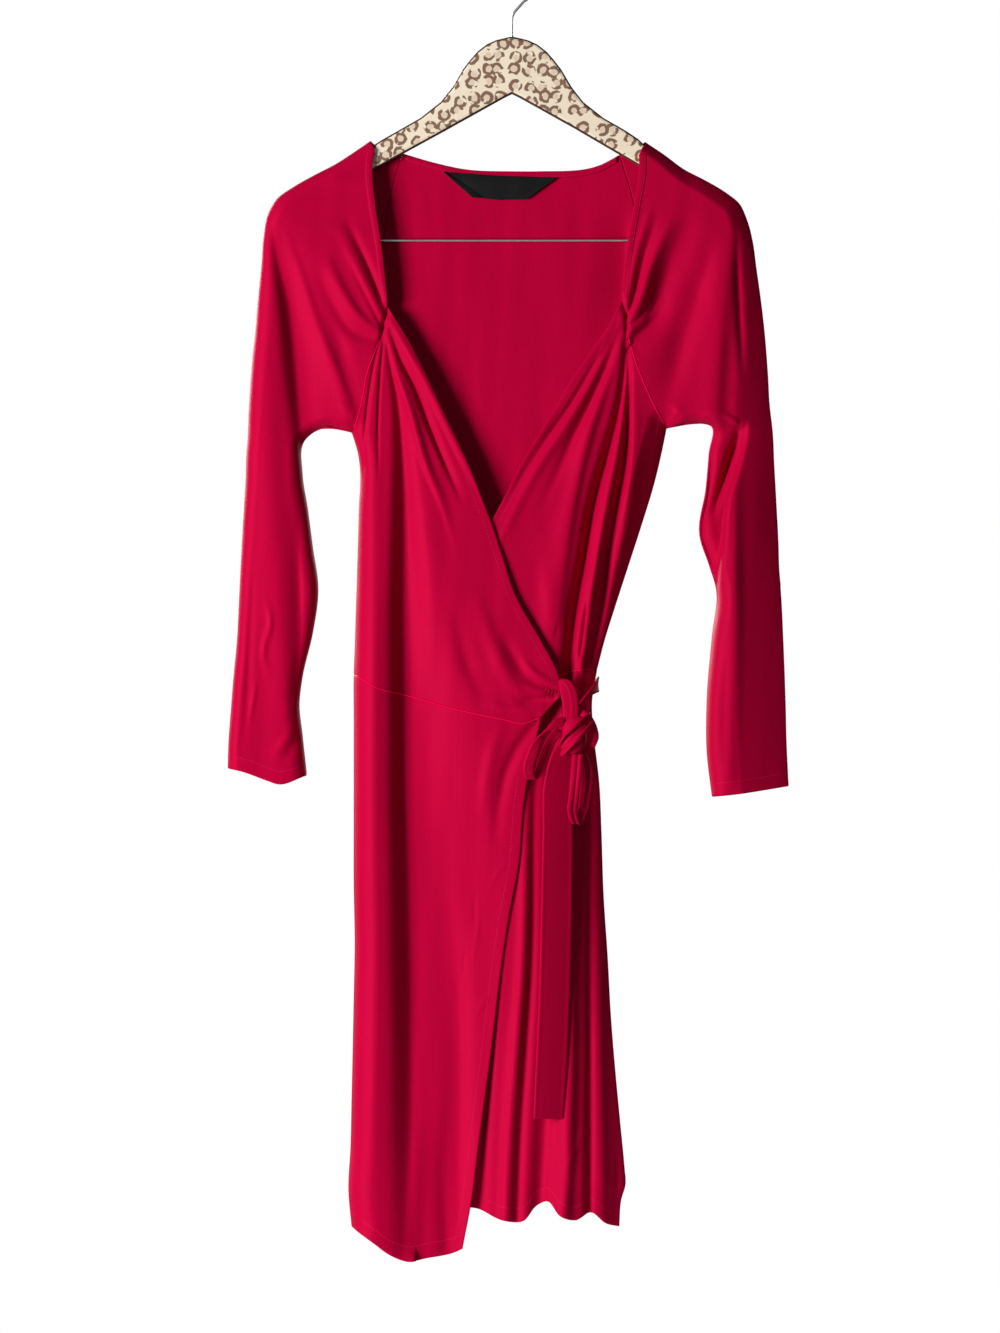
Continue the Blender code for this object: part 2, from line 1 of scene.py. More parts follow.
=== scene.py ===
"""Looks of the wrap dress: crimson slinky jersey on a printed wooden hanger with steel wire fittings.

Sizes are in millimetres and outlines are (x, z), as in the solid model: -Y is the front, right and left
are the wearer's. MM turns them into metres. Every cloth piece is a thin closed wall round a surface whose
depth is a function of its place in the outline: it stands out from the middle plane, rounds in at the
silhouettes, and carries folds along given lines.
"""

import bpy
import numpy as np
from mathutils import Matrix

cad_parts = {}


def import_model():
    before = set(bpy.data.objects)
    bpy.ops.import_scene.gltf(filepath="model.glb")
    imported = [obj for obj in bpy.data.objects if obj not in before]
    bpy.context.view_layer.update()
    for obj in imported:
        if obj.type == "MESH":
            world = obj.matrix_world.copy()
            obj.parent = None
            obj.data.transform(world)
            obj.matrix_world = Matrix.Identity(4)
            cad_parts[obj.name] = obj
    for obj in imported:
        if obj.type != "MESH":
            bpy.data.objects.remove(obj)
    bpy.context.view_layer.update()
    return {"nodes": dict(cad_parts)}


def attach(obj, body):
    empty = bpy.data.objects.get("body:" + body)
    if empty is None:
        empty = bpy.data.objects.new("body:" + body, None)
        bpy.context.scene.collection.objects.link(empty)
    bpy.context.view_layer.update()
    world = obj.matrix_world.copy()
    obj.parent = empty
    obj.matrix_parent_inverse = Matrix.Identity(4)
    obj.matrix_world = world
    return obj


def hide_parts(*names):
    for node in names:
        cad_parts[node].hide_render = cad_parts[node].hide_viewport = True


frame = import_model()

MM = 0.001

# ---------------------------------------------------------------- outlines of the cut pieces

FRONT_R = [
    (-131, -181), (-133, -201), (-130, -235), (-125, -267), (-121, -300), (-118, -331), (-123, -349),
    (-125, -361), (-131, -376), (-138, -396), (-142, -418), (-148, -441), (-152, -450), (-163, -446.5),
    (-175, -445), (-188, -449), (-198, -458), (-200, -490), (-195, -524), (-190, -562), (-185, -600),
    (-190, -640), (-200, -683), (-203, -710), (-200, -740), (-196, -777),
]
OUTER_R = [
    (-134, -173), (-150, -184), (-167, -195), (-188, -206), (-209, -218), (-224, -229), (-232, -243),
    (-236, -264), (-238, -290), (-241, -320), (-243.5, -350), (-247, -384), (-249, -412), (-250, -429),
    (-250.5, -443), (-251, -455), (-252, -468), (-253, -496), (-255, -530), (-257, -566), (-259, -606),
    (-261, -646), (-265, -690), (-267, -716), (-269, -742), (-270, -770),
]
BACK_R = [
    (-126, -180), (-104, -184), (-109, -199), (-117, -228), (-122, -262), (-127, -296), (-131, -326),
    (-134, -346), (-138, -368), (-141, -392), (-145, -417), (-149, -440),
]
FRONT_L = [
    (121, -186), (121, -203), (116, -235), (111, -265), (107, -296), (104, -325), (109, -340),
    (109, -354), (113, -368), (119, -388), (129, -412), (141, -436), (147, -446), (160, -443),
    (175, -441), (190, -444), (188, -470), (185, -505), (179, -548), (188, -576), (195, -600),
    (191, -645), (186, -706), (186, -754), (191, -797),
]
OUTER_L = [
    (126, -174), (144, -186), (163, -200), (184, -211), (204, -223), (216, -233), (224, -250),
    (229, -270), (232, -292), (236, -320), (240, -354), (243, -392), (245, -425), (246, -434),
    (247, -442), (248, -452), (249, -475), (251, -512), (253, -550), (254, -580), (256, -608),
    (258, -650), (260, -705), (261, -745), (263, -787),
]
BACK_L = [
    (117, -180), (103, -185), (107, -199), (114, -222), (120, -255), (125, -290), (130, -322),
    (133, -346), (136, -368), (139, -392), (142, -415), (146, -436),
]
CUFF_R = [(-196, -777), (-223, -785), (-232, -782), (-257, -773), (-270, -770)]
CUFF_L = [(191, -797), (218, -794), (238, -791), (263, -787)]
SIDE_R = [
    (-152, -450), (-146, -470), (-144, -485), (-145, -520), (-146, -555), (-147, -590), (-148, -620),
    (-149, -655), (-150, -680), (-150, -720), (-150, -770), (-150, -825), (-150, -880), (-149, -935),
    (-150, -990), (-151, -1040), (-152, -1085), (-153, -1130), (-155, -1172), (-152, -1206),
]
SIDE_L = [
    (147, -446), (143, -466), (136, -496), (123, -539), (111, -576), (98, -616), (88, -648),
    (81, -675), (76, -707), (78, -740), (83, -785), (85, -830), (87, -890), (91, -950), (94, -1005),
    (98, -1055), (103, -1108), (107, -1150), (108, -1166), (104, -1180), (102, -1206),
]
WAIST_R, WAIST_L = 8, 7  # the place of the waist seam in each side line
UNDERARM = 12  # the row of a sleeve at which it closes into a tube
GATHER_TOP, GATHER_FOOT = 5, 7  # the rows between which the front is gathered on to the shoulder
BACK_HEM = 18  # the place of the back's hem in each side line
WRAP_EDGE = [
    (-118, -331), (-97, -365), (-84, -390), (-71, -418), (-57, -447), (-48, -466), (-39, -486),
    (-29, -512), (-20, -535), (-9, -568), (2, -602), (29, -651), (44, -681), (47, -700),
]
UNDER_EDGE = [
    (104, -325), (90, -352), (76, -372), (56, -401), (38, -432), (27, -450), (15, -469), (1, -496),
    (-20, -536), (-38, -570), (-58, -606), (-80, -648), (-104, -694),
]
NECKLINE = [(-104, -184), (-77, -192), (-45, -199), (0, -201), (25, -201), (84, -195), (103, -185)]
WAIST_OVER = [(-150, -680), (-131, -692), (-98, -701), (-64, -711), (-9, -723), (12, -727), (28, -721)]
WAIST_UNDER = [(-104, -694), (-60, -697), (0, -692), (40, -683), (60, -677), (81, -675)]
WAIST_BACK = [(-150, -680), (-60, -690), (10, -688), (81, -675)]
SKIRT_EDGE = [
    (28, -721), (18, -763), (11, -805), (7, -857), (-3, -911), (-9, -950), (-14, -990), (-20, -1040),
    (-26, -1085), (-32, -1130), (-38, -1178), (-47, -1226),
]
HEM_OVER = [
    (-152, -1206), (-133, -1219), (-115, -1232), (-98, -1238), (-81, -1235), (-53, -1229), (-47, -1226),
]
HIDDEN_EDGE = [
    (-104, -694), (-106, -730), (-107, -765), (-108, -805), (-109, -850), (-110, -900), (-110, -950),
    (-110, -1000), (-110, -1050), (-110, -1100), (-109, -1150), (-109, -1172), (-108, -1192),
]
HEM_UNDER = [
    (-108, -1192), (-70, -1190), (-34, -1188), (-9, -1199), (10, -1200), (24, -1185), (33, -1181),
    (46, -1195), (60, -1199), (75, -1192), (90, -1203), (102, -1206),
]
HEM_BACK = [(-155, -1172), (-130, -1177), (-100, -1178), (0, -1174), (60, -1174), (108, -1166)]

# ---------------------------------------------------------------- depth of the cloth, by height

SHOULDER = [(-173, 8.6), (-230, 10.5), (-345, 14), (-452, 16)]
OVERLAP = SHOULDER + [(-536, 19), (-620, 23), (-700, 25), (-1240, 27)]
UNDERLAP = SHOULDER + [(-500, 16), (-700, 17), (-800, 21), (-1240, 21)]
FRONT_SLEEVE_R = SHOULDER + [(-520, 13), (-800, 12)]
FRONT_SLEEVE_L = SHOULDER + [(-520, 19), (-620, 19), (-800, 17)]
BACK_SHOULDER = [(-173, 8.6), (-230, 8.6), (-270, 6.5), (-345, 3.5), (-452, 3)]
BACK_BODY = BACK_SHOULDER + [(-600, 4.5), (-720, 12), (-1240, 16)]
BACK_SLEEVE = BACK_SHOULDER + [(-520, 11), (-800, 11)]

# How wide the rounded silhouette is at each height, and how full: 2 is a quarter circle, 1 a straight slope.
ROUND_OUTER_R = ([(-173, 8), (-230, 12), (-345, 16), (-452, 12), (-800, 10)], 2.0)
ROUND_OUTER_L = (
    [(-173, 8), (-230, 14), (-300, 22), (-400, 30), (-452, 36), (-580, 42), (-705, 46), (-800, 46)],
    1.1,
)
ROUND_INNER = ([(-440, 10), (-520, 14), (-800, 14)], 2.0)
ROUND_SIDE_R = ([(-440, 16), (-560, 22), (-1240, 24)], 2.0)
ROUND_SIDE_L = ([(-440, 20), (-560, 26), (-720, 30), (-800, 42), (-1240, 56)], 1.2)

# ---------------------------------------------------------------- folds
# Each is (line, width on its -X side, width on its +X side, depth): hollows are positive and ridges
# negative. Widths and depths given as tuples change evenly along the line.

SHOULDER_FOLDS_R = [
    ([(-116, -328), (-120, -340), (-125, -364)], 2.2, 2.2, (2, 4.5, 2)),
    ([(-160, -246), (-147, -272), (-136, -296), (-126, -322), (-120, -338)], 2.0, 4.0, (0, 2.4, 3.2, 3.4, 2)),
    ([(-167, -250), (-154, -278), (-142, -304), (-131, -330), (-124, -346)], 6, 4, (0, -2, -2.8, -2.8, -1)),
    ([(-156, -286), (-146, -306), (-134, -330), (-124, -350)], 1.8, 3, (0, 1.8, 2.6, 2)),
    ([(-179, -278), (-163, -312), (-148, -337), (-127, -356)], 6, 4, (0, -2.4, -3, -1.5)),
    ([(-184, -296), (-168, -332), (-150, -356), (-128, -362)], 5, 6, (0, 2, 2.8, 1.6)),
    ([(-218, -252), (-201, -299), (-184, -350), (-167, -392), (-152, -433)],
     9, 3.5, (0, -1.6, -2.2, -2.4, -1.4)),
    ([(-190, -290), (-174, -340), (-160, -380), (-149, -420)], 7, 8, (0, 1.8, 2.4, 1)),
    ([(-229, -240), (-222, -285), (-215, -318), (-208, -372), (-203, -420), (-199, -457)],
     (5, 7, 8, 8), (14, 26, 30), (0, 5, 9, 10, 9, 6)),
    ([(-236, -300), (-234, -360), (-231, -440), (-227, -520), (-223, -600), (-217, -690), (-216, -775)],
     (8, 12, 16, 18, 18), (10, 14, 14, 8), (0, -1.6, -3, -4, -4, -3, -1)),
    ([(-204, -520), (-203, -580), (-202, -640), (-208, -700)], 7, 4, (0, 2, 2.4, 1)),
    ([(-246, -560), (-249, -640), (-253, -720), (-258, -765)], 3.5, 4, (0, 0.9, 1.1, 0)),
    ([(-236, -606), (-229, -632), (-236, -656), (-228, -688)], 2.4, 2.4, (0, -1.8, -1.6, 0)),
    ([(-206, -731), (-216, -744), (-229, -760)], 3, 3, (0, -2.4, 0)),
    ([(-205, -742), (-211, -752), (-220, -764)], 2.5, 4, (1, 2.5, 0)),
    ([(-242, -684), (-246, -706), (-250, -728)], 2, 2, (0, -1.2, 0)),
    ([(-176, -424), (-160, -425), (-154, -438)], 3, 2, (0, -1.2, 0)),
]
BODICE_FOLDS_R = [
    ([(-120, -360), (-115, -384), (-109, -420), (-105, -470), (-103, -539), (-103, -600), (-102, -700),
      (-101, -780), (-97, -900), (-95, -1010), (-94, -1116), (-92, -1222)],
     (2.5, 5, 8, 10, 11, 12, 13, 14, 15, 16, 16), (3, 7, 14, 28, 46, 66, 76, 76, 76, 66),
     (1, 6, 11, 14, 16, 17.5, 18, 18, 18, 16, 13, 11)),
    ([(-126, -372), (-130, -411), (-133, -480), (-133, -572), (-132, -700), (-131, -900), (-130, -1100),
      (-128, -1215)], 9, 7, (0, -1.4, -1.4, -1.2, -1.2, -1, -1, -0.5)),
    ([(-122, -362), (-125, -392), (-127, -430), (-127, -500)], 1.6, 1.6, (1.6, 2.4, 1.6, 0)),
    ([(-127, -366), (-134, -402), (-139, -442), (-141, -520)], 1.8, 2.4, (1.2, 2, 1.2, 0)),
    ([(-118, -362), (-111, -392), (-99, -423), (-82, -481), (-66, -520), (-52, -566)],
     3, 4.5, (-1, -3.2, -3.8, -3.4, -1.2, 0)),
    ([(-115, -356), (-105, -384), (-95, -403), (-80, -442), (-62, -484), (-46, -520)],
     2.6, 4.5, (1, 4, 5, 4.4, 2.6, 0)),
    ([(-115, -345), (-102, -368), (-86, -395), (-63, -442), (-39, -490), (-18, -530)],
     3.5, 4.5, (-1, -2.6, -3, -2.8, -1.4, 0)),
    ([(-86, -480), (-82, -560), (-78, -640), (-76, -720)], 9, 9, (0, -0.9, -0.9, 0)),
    ([(-96, -636), (-76, -637), (-56, -637)], 1.2, 1.4, (0, 0.5, 0)),
    ([(-54, -610), (-50, -640), (-43, -668), (-29, -700)], 7, 9, (0, 1.6, 2.6, 1)),
    ([(-34, -600), (-25, -632), (-10, -670), (6, -700)], 9, 7, (0, -2, -3.2, -2)),
    ([(-10, -640), (4, -668), (14, -682), (22, -686)], 5, 5, (0, 1.4, 1.8, 0)),
    ([(8, -664), (20, -678), (34, -688), (46, -695)], 4, 3, (0, -2.4, -2.6, -1.5)),
    ([(10, -684), (22, -689), (36, -695), (49, -700)], 2.4, 2.6, (0, 3, 4, 4)),
    ([(2, -692), (20, -696), (34, -699), (47, -702)], 2.6, 2.4, (0, -2.6, -3, -2)),
    ([(-2, -700), (10, -706), (24, -705), (40, -703)], 2.6, 3, (0, 3.4, 4, 3)),
    ([(-30, -706), (-6, -713), (12, -714), (28, -711)], 3, 3, (0, -1.8, -2.2, -1)),
]
SKIRT_FOLDS_R = [
    ([(-60, -880), (-54, -960), (-51, -1040), (-51, -1116), (-54, -1225)],
     (12, 15, 19), (10, 12, 13), (0, 2.4, 4, 6, 5)),
    ([(24, -726), (12, -740), (-2, -764), (-12, -800), (-16, -850)], 5, 6, (3, 3.2, 2.4, 1.4, 0)),
    ([(-6, -724), (-14, -740), (-22, -770), (-28, -820)], 6, 6, (0, -1.6, -1.6, 0)),
    ([(-2, -856), (-13, -868), (-22, -886)], 1.6, 1.8, (0, -0.6, 0)),
    ([(-14, -980), (-26, -990), (-36, -1008)], 1.6, 1.8, (0, -0.6, 0)),
    ([(-34, -884), (-36, -900), (-35, -922)], 1.5, 1.7, (0, 0.5, 0)),
    ([(-43, -938), (-46, -955), (-44, -975)], 1.5, 1.7, (0, 0.5, 0)),
    ([(-30, -900), (-33, -925), (-38, -960)], 1.6, 2.2, (0, -0.5, 0)),
    ([(-96, -1232), (-94, -1180), (-90, -1100)], 8, 6, (-2, -1.6, 0)),
    ([(-62, -1226), (-66, -1150), (-60, -1080)], 7, 7, (1.6, 1.2, 0)),
]
SHOULDER_FOLDS_L = [
    ([(103, -322), (108, -338), (109, -358)], 2.2, 2.2, (2, 4.5, 2)),
    ([(134, -232), (125, -259), (118, -282), (113, -308), (108, -336)], 3, 2.4, (0, -1.6, -2.2, -2.2, -1.5)),
    ([(140, -238), (131, -266), (123, -292), (117, -316), (110, -341)], 2.6, 3, (0, 2, 3, 3.4, 2)),
    ([(152, -246), (138, -276), (129, -299), (123, -320), (111, -345)], 3, 5, (0, -2.8, -4.2, -4, -1.6)),
    ([(141, -298), (131, -322), (121, -341), (110, -350)], 2.2, 2.4, (0, 1.8, 2.6, 1.5)),
    ([(144, -322), (134, -337), (122, -349), (110, -355)], 2.4, 3, (0, -1.8, -2.4, -1)),
    ([(170, -240), (154, -280), (141, -314), (131, -343), (116, -362)],
     (7, 9, 8, 5), (14, 18, 17, 12), (0, 4, 8, 10, 5)),
    ([(192, -262), (174, -325), (157, -380), (142, -432)], (12, 16, 14), (8, 10, 9), (0, 6, 5, 2)),
    ([(206, -262), (200, -325), (194, -400), (192, -438)], (14, 16, 18), 8, (0, -3, -4.4, -3)),
    ([(213, -256), (214, -300), (216, -340), (219, -400)], 4, 3, (0, 3.4, 3.4, 0)),
    ([(208, -470), (210, -560), (210, -640), (206, -780)], 7, 7, (0, -2.6, -3, -2)),
    ([(150, -442), (158, -431), (166, -427)], 2, 2, (-1, -1.6, 0)),
    ([(176, -438), (190, -434), (205, -436), (217, -444)], 2, 2.4, (0, -1.5, -2, -1)),
    ([(184, -418), (198, -413), (214, -411)], 1.2, 1.6, (0, -0.8, 0)),
    ([(222, -438), (221, -452), (218, -466), (212, -487), (204, -511), (200, -548), (196, -584), (194, -620)],
     40, 1.8, (0, 11, 15, 16, 15, 13, 8, 0)),
    ([(217, -446), (212, -466), (204, -490), (196, -514), (191, -532)], 5, 2.5, (3, 9, 10, 9, 0)),
    ([(190, -452), (200, -449), (212, -449)], 3, 5, (0, 4, 3)),
    ([(190, -368), (203, -361), (214, -352)], 1.2, 1.6, (0, -0.6, 0)),
]
BODICE_FOLDS_L = [
    ([(101, -344), (87, -372), (60, -419), (30, -461), (3, -504), (-20, -545)],
     4, 3.4, (1, 3.6, 4, 3, 1.4, 0)),
    ([(103, -343), (96, -353), (77, -395), (52, -442), (21, -490), (-2, -535), (-30, -590)],
     3.5, 5, (-1, -2.6, -3, -2.6, -1.6, -0.8, 0)),
    ([(104, -350), (88, -394), (72, -428), (58, -456), (42, -492), (24, -530)],
     5, 5, (1, 4.4, 5, 3.6, 1.4, 0)),
    ([(103, -360), (86, -410), (71, -458), (58, -515), (49, -572), (42, -629)],
     (4, 7, 11, 13), (5, 5, 6), (-1, -3.4, -4, -4.2, -3.6, -2)),
    ([(107, -362), (106, -395), (101, -430), (91, -470), (79, -515), (69, -572), (59, -629), (54, -684)],
     (2.5, 4, 5.5, 6, 6, 6, 7), (2.5, 3, 3.4, 3.6, 4), (2, 7, 11, 13, 13, 12, 11)),
    ([(109, -372), (108, -411), (101, -461), (91, -510), (82, -560), (74, -608), (66, -676)],
     3, 3.6, (0, -2.6, -3.4, -3.4, -3)),
    ([(110, -366), (111, -400), (110, -434), (107, -481), (101, -515), (91, -572), (84, -629), (76, -665)],
     (2.5, 4, 5.5, 5), (2.5, 3.4, 3.4, 3.4), (2, 6, 9, 10, 9, 7, 4)),
    ([(114, -400), (116, -442), (113, -490), (105, -549), (95, -600), (87, -640)],
     3, 7, (0, -2, -2.6, -2.6, -2, -1)),
    ([(74, -590), (70, -629), (66, -660)], 2.4, 2.4, (0, 2.4, 2)),
    ([(30, -540), (34, -600), (40, -660)], 8, 10, (0, -2, 0)),
]
SKIRT_FOLDS_L = [
    ([(-60, -590), (-84, -650), (-96, -720), (-90, -800), (-86, -900), (-81, -1000), (-79, -1100),
      (-78, -1195)],
     
     44, (40, 60), (0, 10, 18, 20, 20, 19, 17, 15)),
    ([(36, -706), (35, -714), (33, -724)], 10, 9, (5, 6, 5)),
    ([(14, -780), (13, -841), (10, -960), (4, -1037), (-2, -1116), (-6, -1197)],
     6, 5, (-1, -3, -3.6, -4, -4)),
    ([(22, -780), (20, -841), (17, -960), (12, -1037), (7, -1116), (4, -1197)], 4, 6, (2, 4, 4.4, 4)),
    ([(40, -720), (38, -800), (37, -900), (37, -1000), (30, -1116), (26, -1190)], 10, 9, (3, 5, 6, 7, 9)),
    ([(60, -700), (61, -760), (60, -831), (57, -941), (57, -1031), (55, -1100), (52, -1163), (50, -1197)],
     (6, 6, 8), (3, 4, 5), (-1, -3, -3, -3, -3.4, -4, -4)),
    ([(70, -690), (73, -740), (74, -781), (74, -900), (74, -1050), (73, -1197)], 4, 4, (2, 3, 3.4, 4, 5)),
    ([(84, -720), (86, -790), (84, -900), (85, -1030), (86, -1197)], 6, 6, (-1, -2.4, -3, -3, -2.4)),
    ([(70, -1110), (58, -1135), (49, -1157)], 2, 2, (0, -1.2, 0)),
    ([(-20, -900), (-24, -1020), (-30, -1190)], 6, 6, (0, 3, 3)),
    ([(98, -1100), (101, -1150), (99, -1205)], 4, 4, (0, 2, 1.6)),
]
BACK_FOLDS = [
    ([(-80, -300), (-82, -350), (-71, -423), (-78, -700), (-84, -1170)], 12, 13, (0, 2, 4, 4.5, 4)),
    ([(-42, -300), (-42, -420), (-40, -510), (-31, -700), (-29, -1170)], 12, 14, (0, -2, -3, -3.5, -3)),
    ([(62, -300), (60, -360), (54, -440), (40, -700), (44, -1170)], 12, 13, (0, 1.6, 2.4, 4, 4)),
    ([(10, -400), (6, -700), (8, -1170)], 12, 13, (0, 2.6, 3)),
    ([(-124, -470), (-126, -700), (-122, -940), (-119, -1174)], 8, 8, (0, 4, 6.5, 6, 4.5)),
    ([(-106, -480), (-104, -700), (-100, -1172)], 7, 8, (0, -3, -3)),
    ([(116, -462), (96, -560), (64, -690), (68, -920), (78, -1168)], 8, 9, (0, 2, 4.5, 5, 4)),
    ([(96, -470), (80, -560), (50, -690), (58, -1168)], 7, 7, (0, -2.6, -2.6)),
    ([(-130, -262), (-100, -274), (-60, -279), (0, -281), (60, -276), (110, -264)], 3, 4, (0, 0.6, 0.6, 0)),
    ([(104, -232), (106, -270), (104, -310), (96, -345)], 20, 9, (0, -4, -5, -2)),
    ([(-216, -250), (-203, -330), (-188, -400), (-180, -440)], 8, 8, (0, 2, 3, 1)),
    ([(210, -254), (200, -330), (188, -400), (180, -436)], 8, 8, (0, 2, 3, 1)),
    ([(-226, -470), (-228, -600), (-236, -760)], 6, 7, (0, 3.4, 3)),
    ([(220, -466), (224, -600), (226, -780)], 6, 7, (0, 3.4, 3)),
    ([(-60, -560), (-52, -690), (-56, -820)], 8, 8, (0, -2, 0)),
    ([(24, -600), (26, -690), (22, -860)], 8, 8, (0, -2.4, 0)),
]
FOLDS_R = SHOULDER_FOLDS_R + BODICE_FOLDS_R + SKIRT_FOLDS_R
FOLDS_L = SHOULDER_FOLDS_L + BODICE_FOLDS_L + SKIRT_FOLDS_L

# ---------------------------------------------------------------- lines and surfaces


def curve(points, parts, corners=()):
    """A smooth line through the points: a cubic on each interval, whose slope at a point is the two
    neighbouring directions weighted by the far interval's length, and one-sided at a corner."""
    line = np.array(points, float)
    run = np.diff(line, axis=0)
    size = np.linalg.norm(run, axis=1)[:, None]
    way = run / size
    middle = (way[:-1] * size[1:] + way[1:] * size[:-1]) / (size[:-1] + size[1:])
    leave = np.concatenate([way[:1], middle])
    arrive = np.concatenate([middle, way[-1:]])
    for place in corners:
        leave[place] = way[place]
        arrive[place - 1] = way[place - 1]
    t = (np.arange(parts) / parts)[None, :, None]
    size = size[:, None]
    made = (2 * t**3 - 3 * t**2 + 1) * line[:-1, None] + (3 * t**2 - 2 * t**3) * line[1:, None]
    made = made + (t**3 - 2 * t**2 + t) * size * leave[:, None] + (t**3 - t**2) * size * arrive[:, None]
    return np.concatenate([made.reshape(-1, line.shape[1]), line[-1:]])


def smooth(points, parts=8):
    """A smooth line through points, without corners."""
    return curve(points, parts)


def lengths(line):
    """The length of a line up to each of its points."""
    return np.concatenate([[0.0], np.cumsum(np.linalg.norm(np.diff(line, axis=0), axis=1))])


def spaced(line, fractions):
    """Points at the given fractions of the length of a line."""
    line = np.array(line, float)
    along = lengths(line)
    found = [np.interp(fractions, along / along[-1], values) for values in line.T]
    return np.stack(found, 1)


def rows_of(line, count):
    """A line cut into count equal lengths."""
    return spaced(line, np.linspace(0, 1, count + 1))


def between_points(line, parts, start, stop=None):
    """The run of a smooth line between two of the points that it was drawn through."""
    return line[start * parts : None if stop is None else stop * parts + 1]


def joined(*lines):
    """Lines that follow on, as one, without the doubled points where they meet."""
    return np.concatenate([lines[0]] + [line[1:] for line in lines[1:]])


def hemmed(line):
    """A line with two more points close to each end, where a cloth wall rounds off."""
    near = np.array([0.12, 0.4])[:, None]
    start = line[0] + near * (line[1] - line[0])
    stop = line[-1] + near[::-1] * (line[-2] - line[-1])
    return np.concatenate([line[:1], start, line[1:-1], stop, line[-1:]])


def rimmed(steps):
    """Numbers in order, with two more close to each end."""
    return hemmed(steps[:, None])[:, 0]


BATCH = 4000  # points measured at a time, to keep the memory small


def nearest(points, line):
    """Distance of each point from a line, how far along the line that place is (0 to 1), and whether
    the point lies on the +X side of a line that runs down (1) or not (-1)."""
    start = line[:-1]
    run = line[1:] - start
    length = np.linalg.norm(run, axis=1)
    before = lengths(line)
    found = []
    for some in np.array_split(points, max(1, len(points) // BATCH)):
        away = some[:, None, :] - start[None]
        part = np.clip((away * run[None]).sum(2) / (length**2)[None], 0, 1)
        off = away - part[..., None] * run[None]
        gap = (off**2).sum(2)
        best = gap.argmin(1)
        rows = np.arange(len(some))
        side = run[best, 0] * away[rows, best, 1] - run[best, 1] * away[rows, best, 0]
        along = (before[best] + part[rows, best] * length[best]) / before[-1]
        found.append(np.stack([np.sqrt(gap[rows, best]), along, np.sign(side)]))
    return np.concatenate(found, axis=1)


def read_table(heights, table):
    """A table of (height, value) read at any height."""
    above, values = np.array(table[::-1], float).T
    return np.interp(heights, above, values)


def along_line(values, along):
    """A number, or a tuple of numbers evenly spaced along a line, read at fractions of its length."""
    values = np.atleast_1d(np.array(values, float))
    return np.interp(along, np.linspace(0, 1, len(values)), values)


def fold_depth(places, folds):
    """The sum of all folds: across each line a bell curve, with its own width on each side."""
    total = np.zeros(len(places))
    for line, left, right, deep in folds:
        gap, along, side = nearest(places, curve(line, 5))
        width = np.where(side < 0, along_line(left, along), along_line(right, along))
        total += along_line(deep, along) * np.exp(-((gap / width) ** 2))
    return total


SLEEVE_PARTS = 7  # rows between two points of a sleeve's edges
SIDE_PARTS = 8  # rows between two points of a side seam
EDGE_R = curve(FRONT_R, SLEEVE_PARTS, (GATHER_TOP, GATHER_FOOT, UNDERARM))
EDGE_L = curve(FRONT_L, SLEEVE_PARTS, (GATHER_TOP, GATHER_FOOT, UNDERARM))
SHOULDER_R = curve(OUTER_R, SLEEVE_PARTS)
SHOULDER_L = curve(OUTER_L, SLEEVE_PARTS)
RAGLAN_BACK_R = curve(BACK_R + FRONT_R[UNDERARM:], SLEEVE_PARTS, (1, UNDERARM))
RAGLAN_BACK_L = curve(BACK_L + FRONT_L[UNDERARM:], SLEEVE_PARTS, (1, UNDERARM))
BODY_SIDE_R = curve(SIDE_R, SIDE_PARTS)
BODY_SIDE_L = curve(SIDE_L, SIDE_PARTS, (WAIST_L,))
OUTLINES = [
    ([SHOULDER_R], ROUND_OUTER_R),
    ([SHOULDER_L], ROUND_OUTER_L),
    ([between_points(edge, SLEEVE_PARTS, UNDERARM) for edge in (EDGE_R, EDGE_L)], ROUND_INNER),
    ([BODY_SIDE_R], ROUND_SIDE_R),
    ([BODY_SIDE_L], ROUND_SIDE_L),
]


def fullness_at(places):
    """The share of its depth that cloth reaches: for each silhouette, a rounding that rises from 0 at
    the outline to 1 at the rounding's width. The least of them holds."""
    share = np.ones(len(places))
    for lines, (widths, fullness) in OUTLINES:
        gap = np.min([nearest(places, line)[0] for line in lines], axis=0)
        part = np.clip(gap / read_table(places[:, 1], widths), 0, 1)
        share = np.minimum(share, (1 - (1 - part) ** fullness) ** (1 / fullness))
    return share


def ripple(places):
    """The slight unevenness of hanging jersey: crossing waves, long down the cloth and short across it."""
    x, z = places.T
    wave = 0.14 * np.sin(x / 6.3 + 1.3 * np.sin(z / 71.0)) + 0.09 * np.sin(x / 3.7 - z / 53.0 + 1.7)
    return wave + 0.20 * np.sin(x / 14.0 + z / 38.0 + 0.6) * np.sin(z / 61.0)


def depth(places, table, folds):
    """Depth of the cloth at its places: its stand-out from the middle plane less the folds, which fade
    at the silhouettes."""
    share = fullness_at(places)
    soft = np.clip(share / 0.6, 0, 1)
    return read_table(places[:, 1], table) * share - (fold_depth(places, folds) + ripple(places)) * soft


def front(places, table, folds):
    """Points of a front surface over their places in the outline."""
    return np.stack([places[:, 0], -depth(places, table, folds), places[:, 1]], axis=1)


def back(places, table, folds):
    """Points of a back surface over their places in the outline."""
    return np.stack([places[:, 0], depth(places, table, folds), places[:, 1]], axis=1)


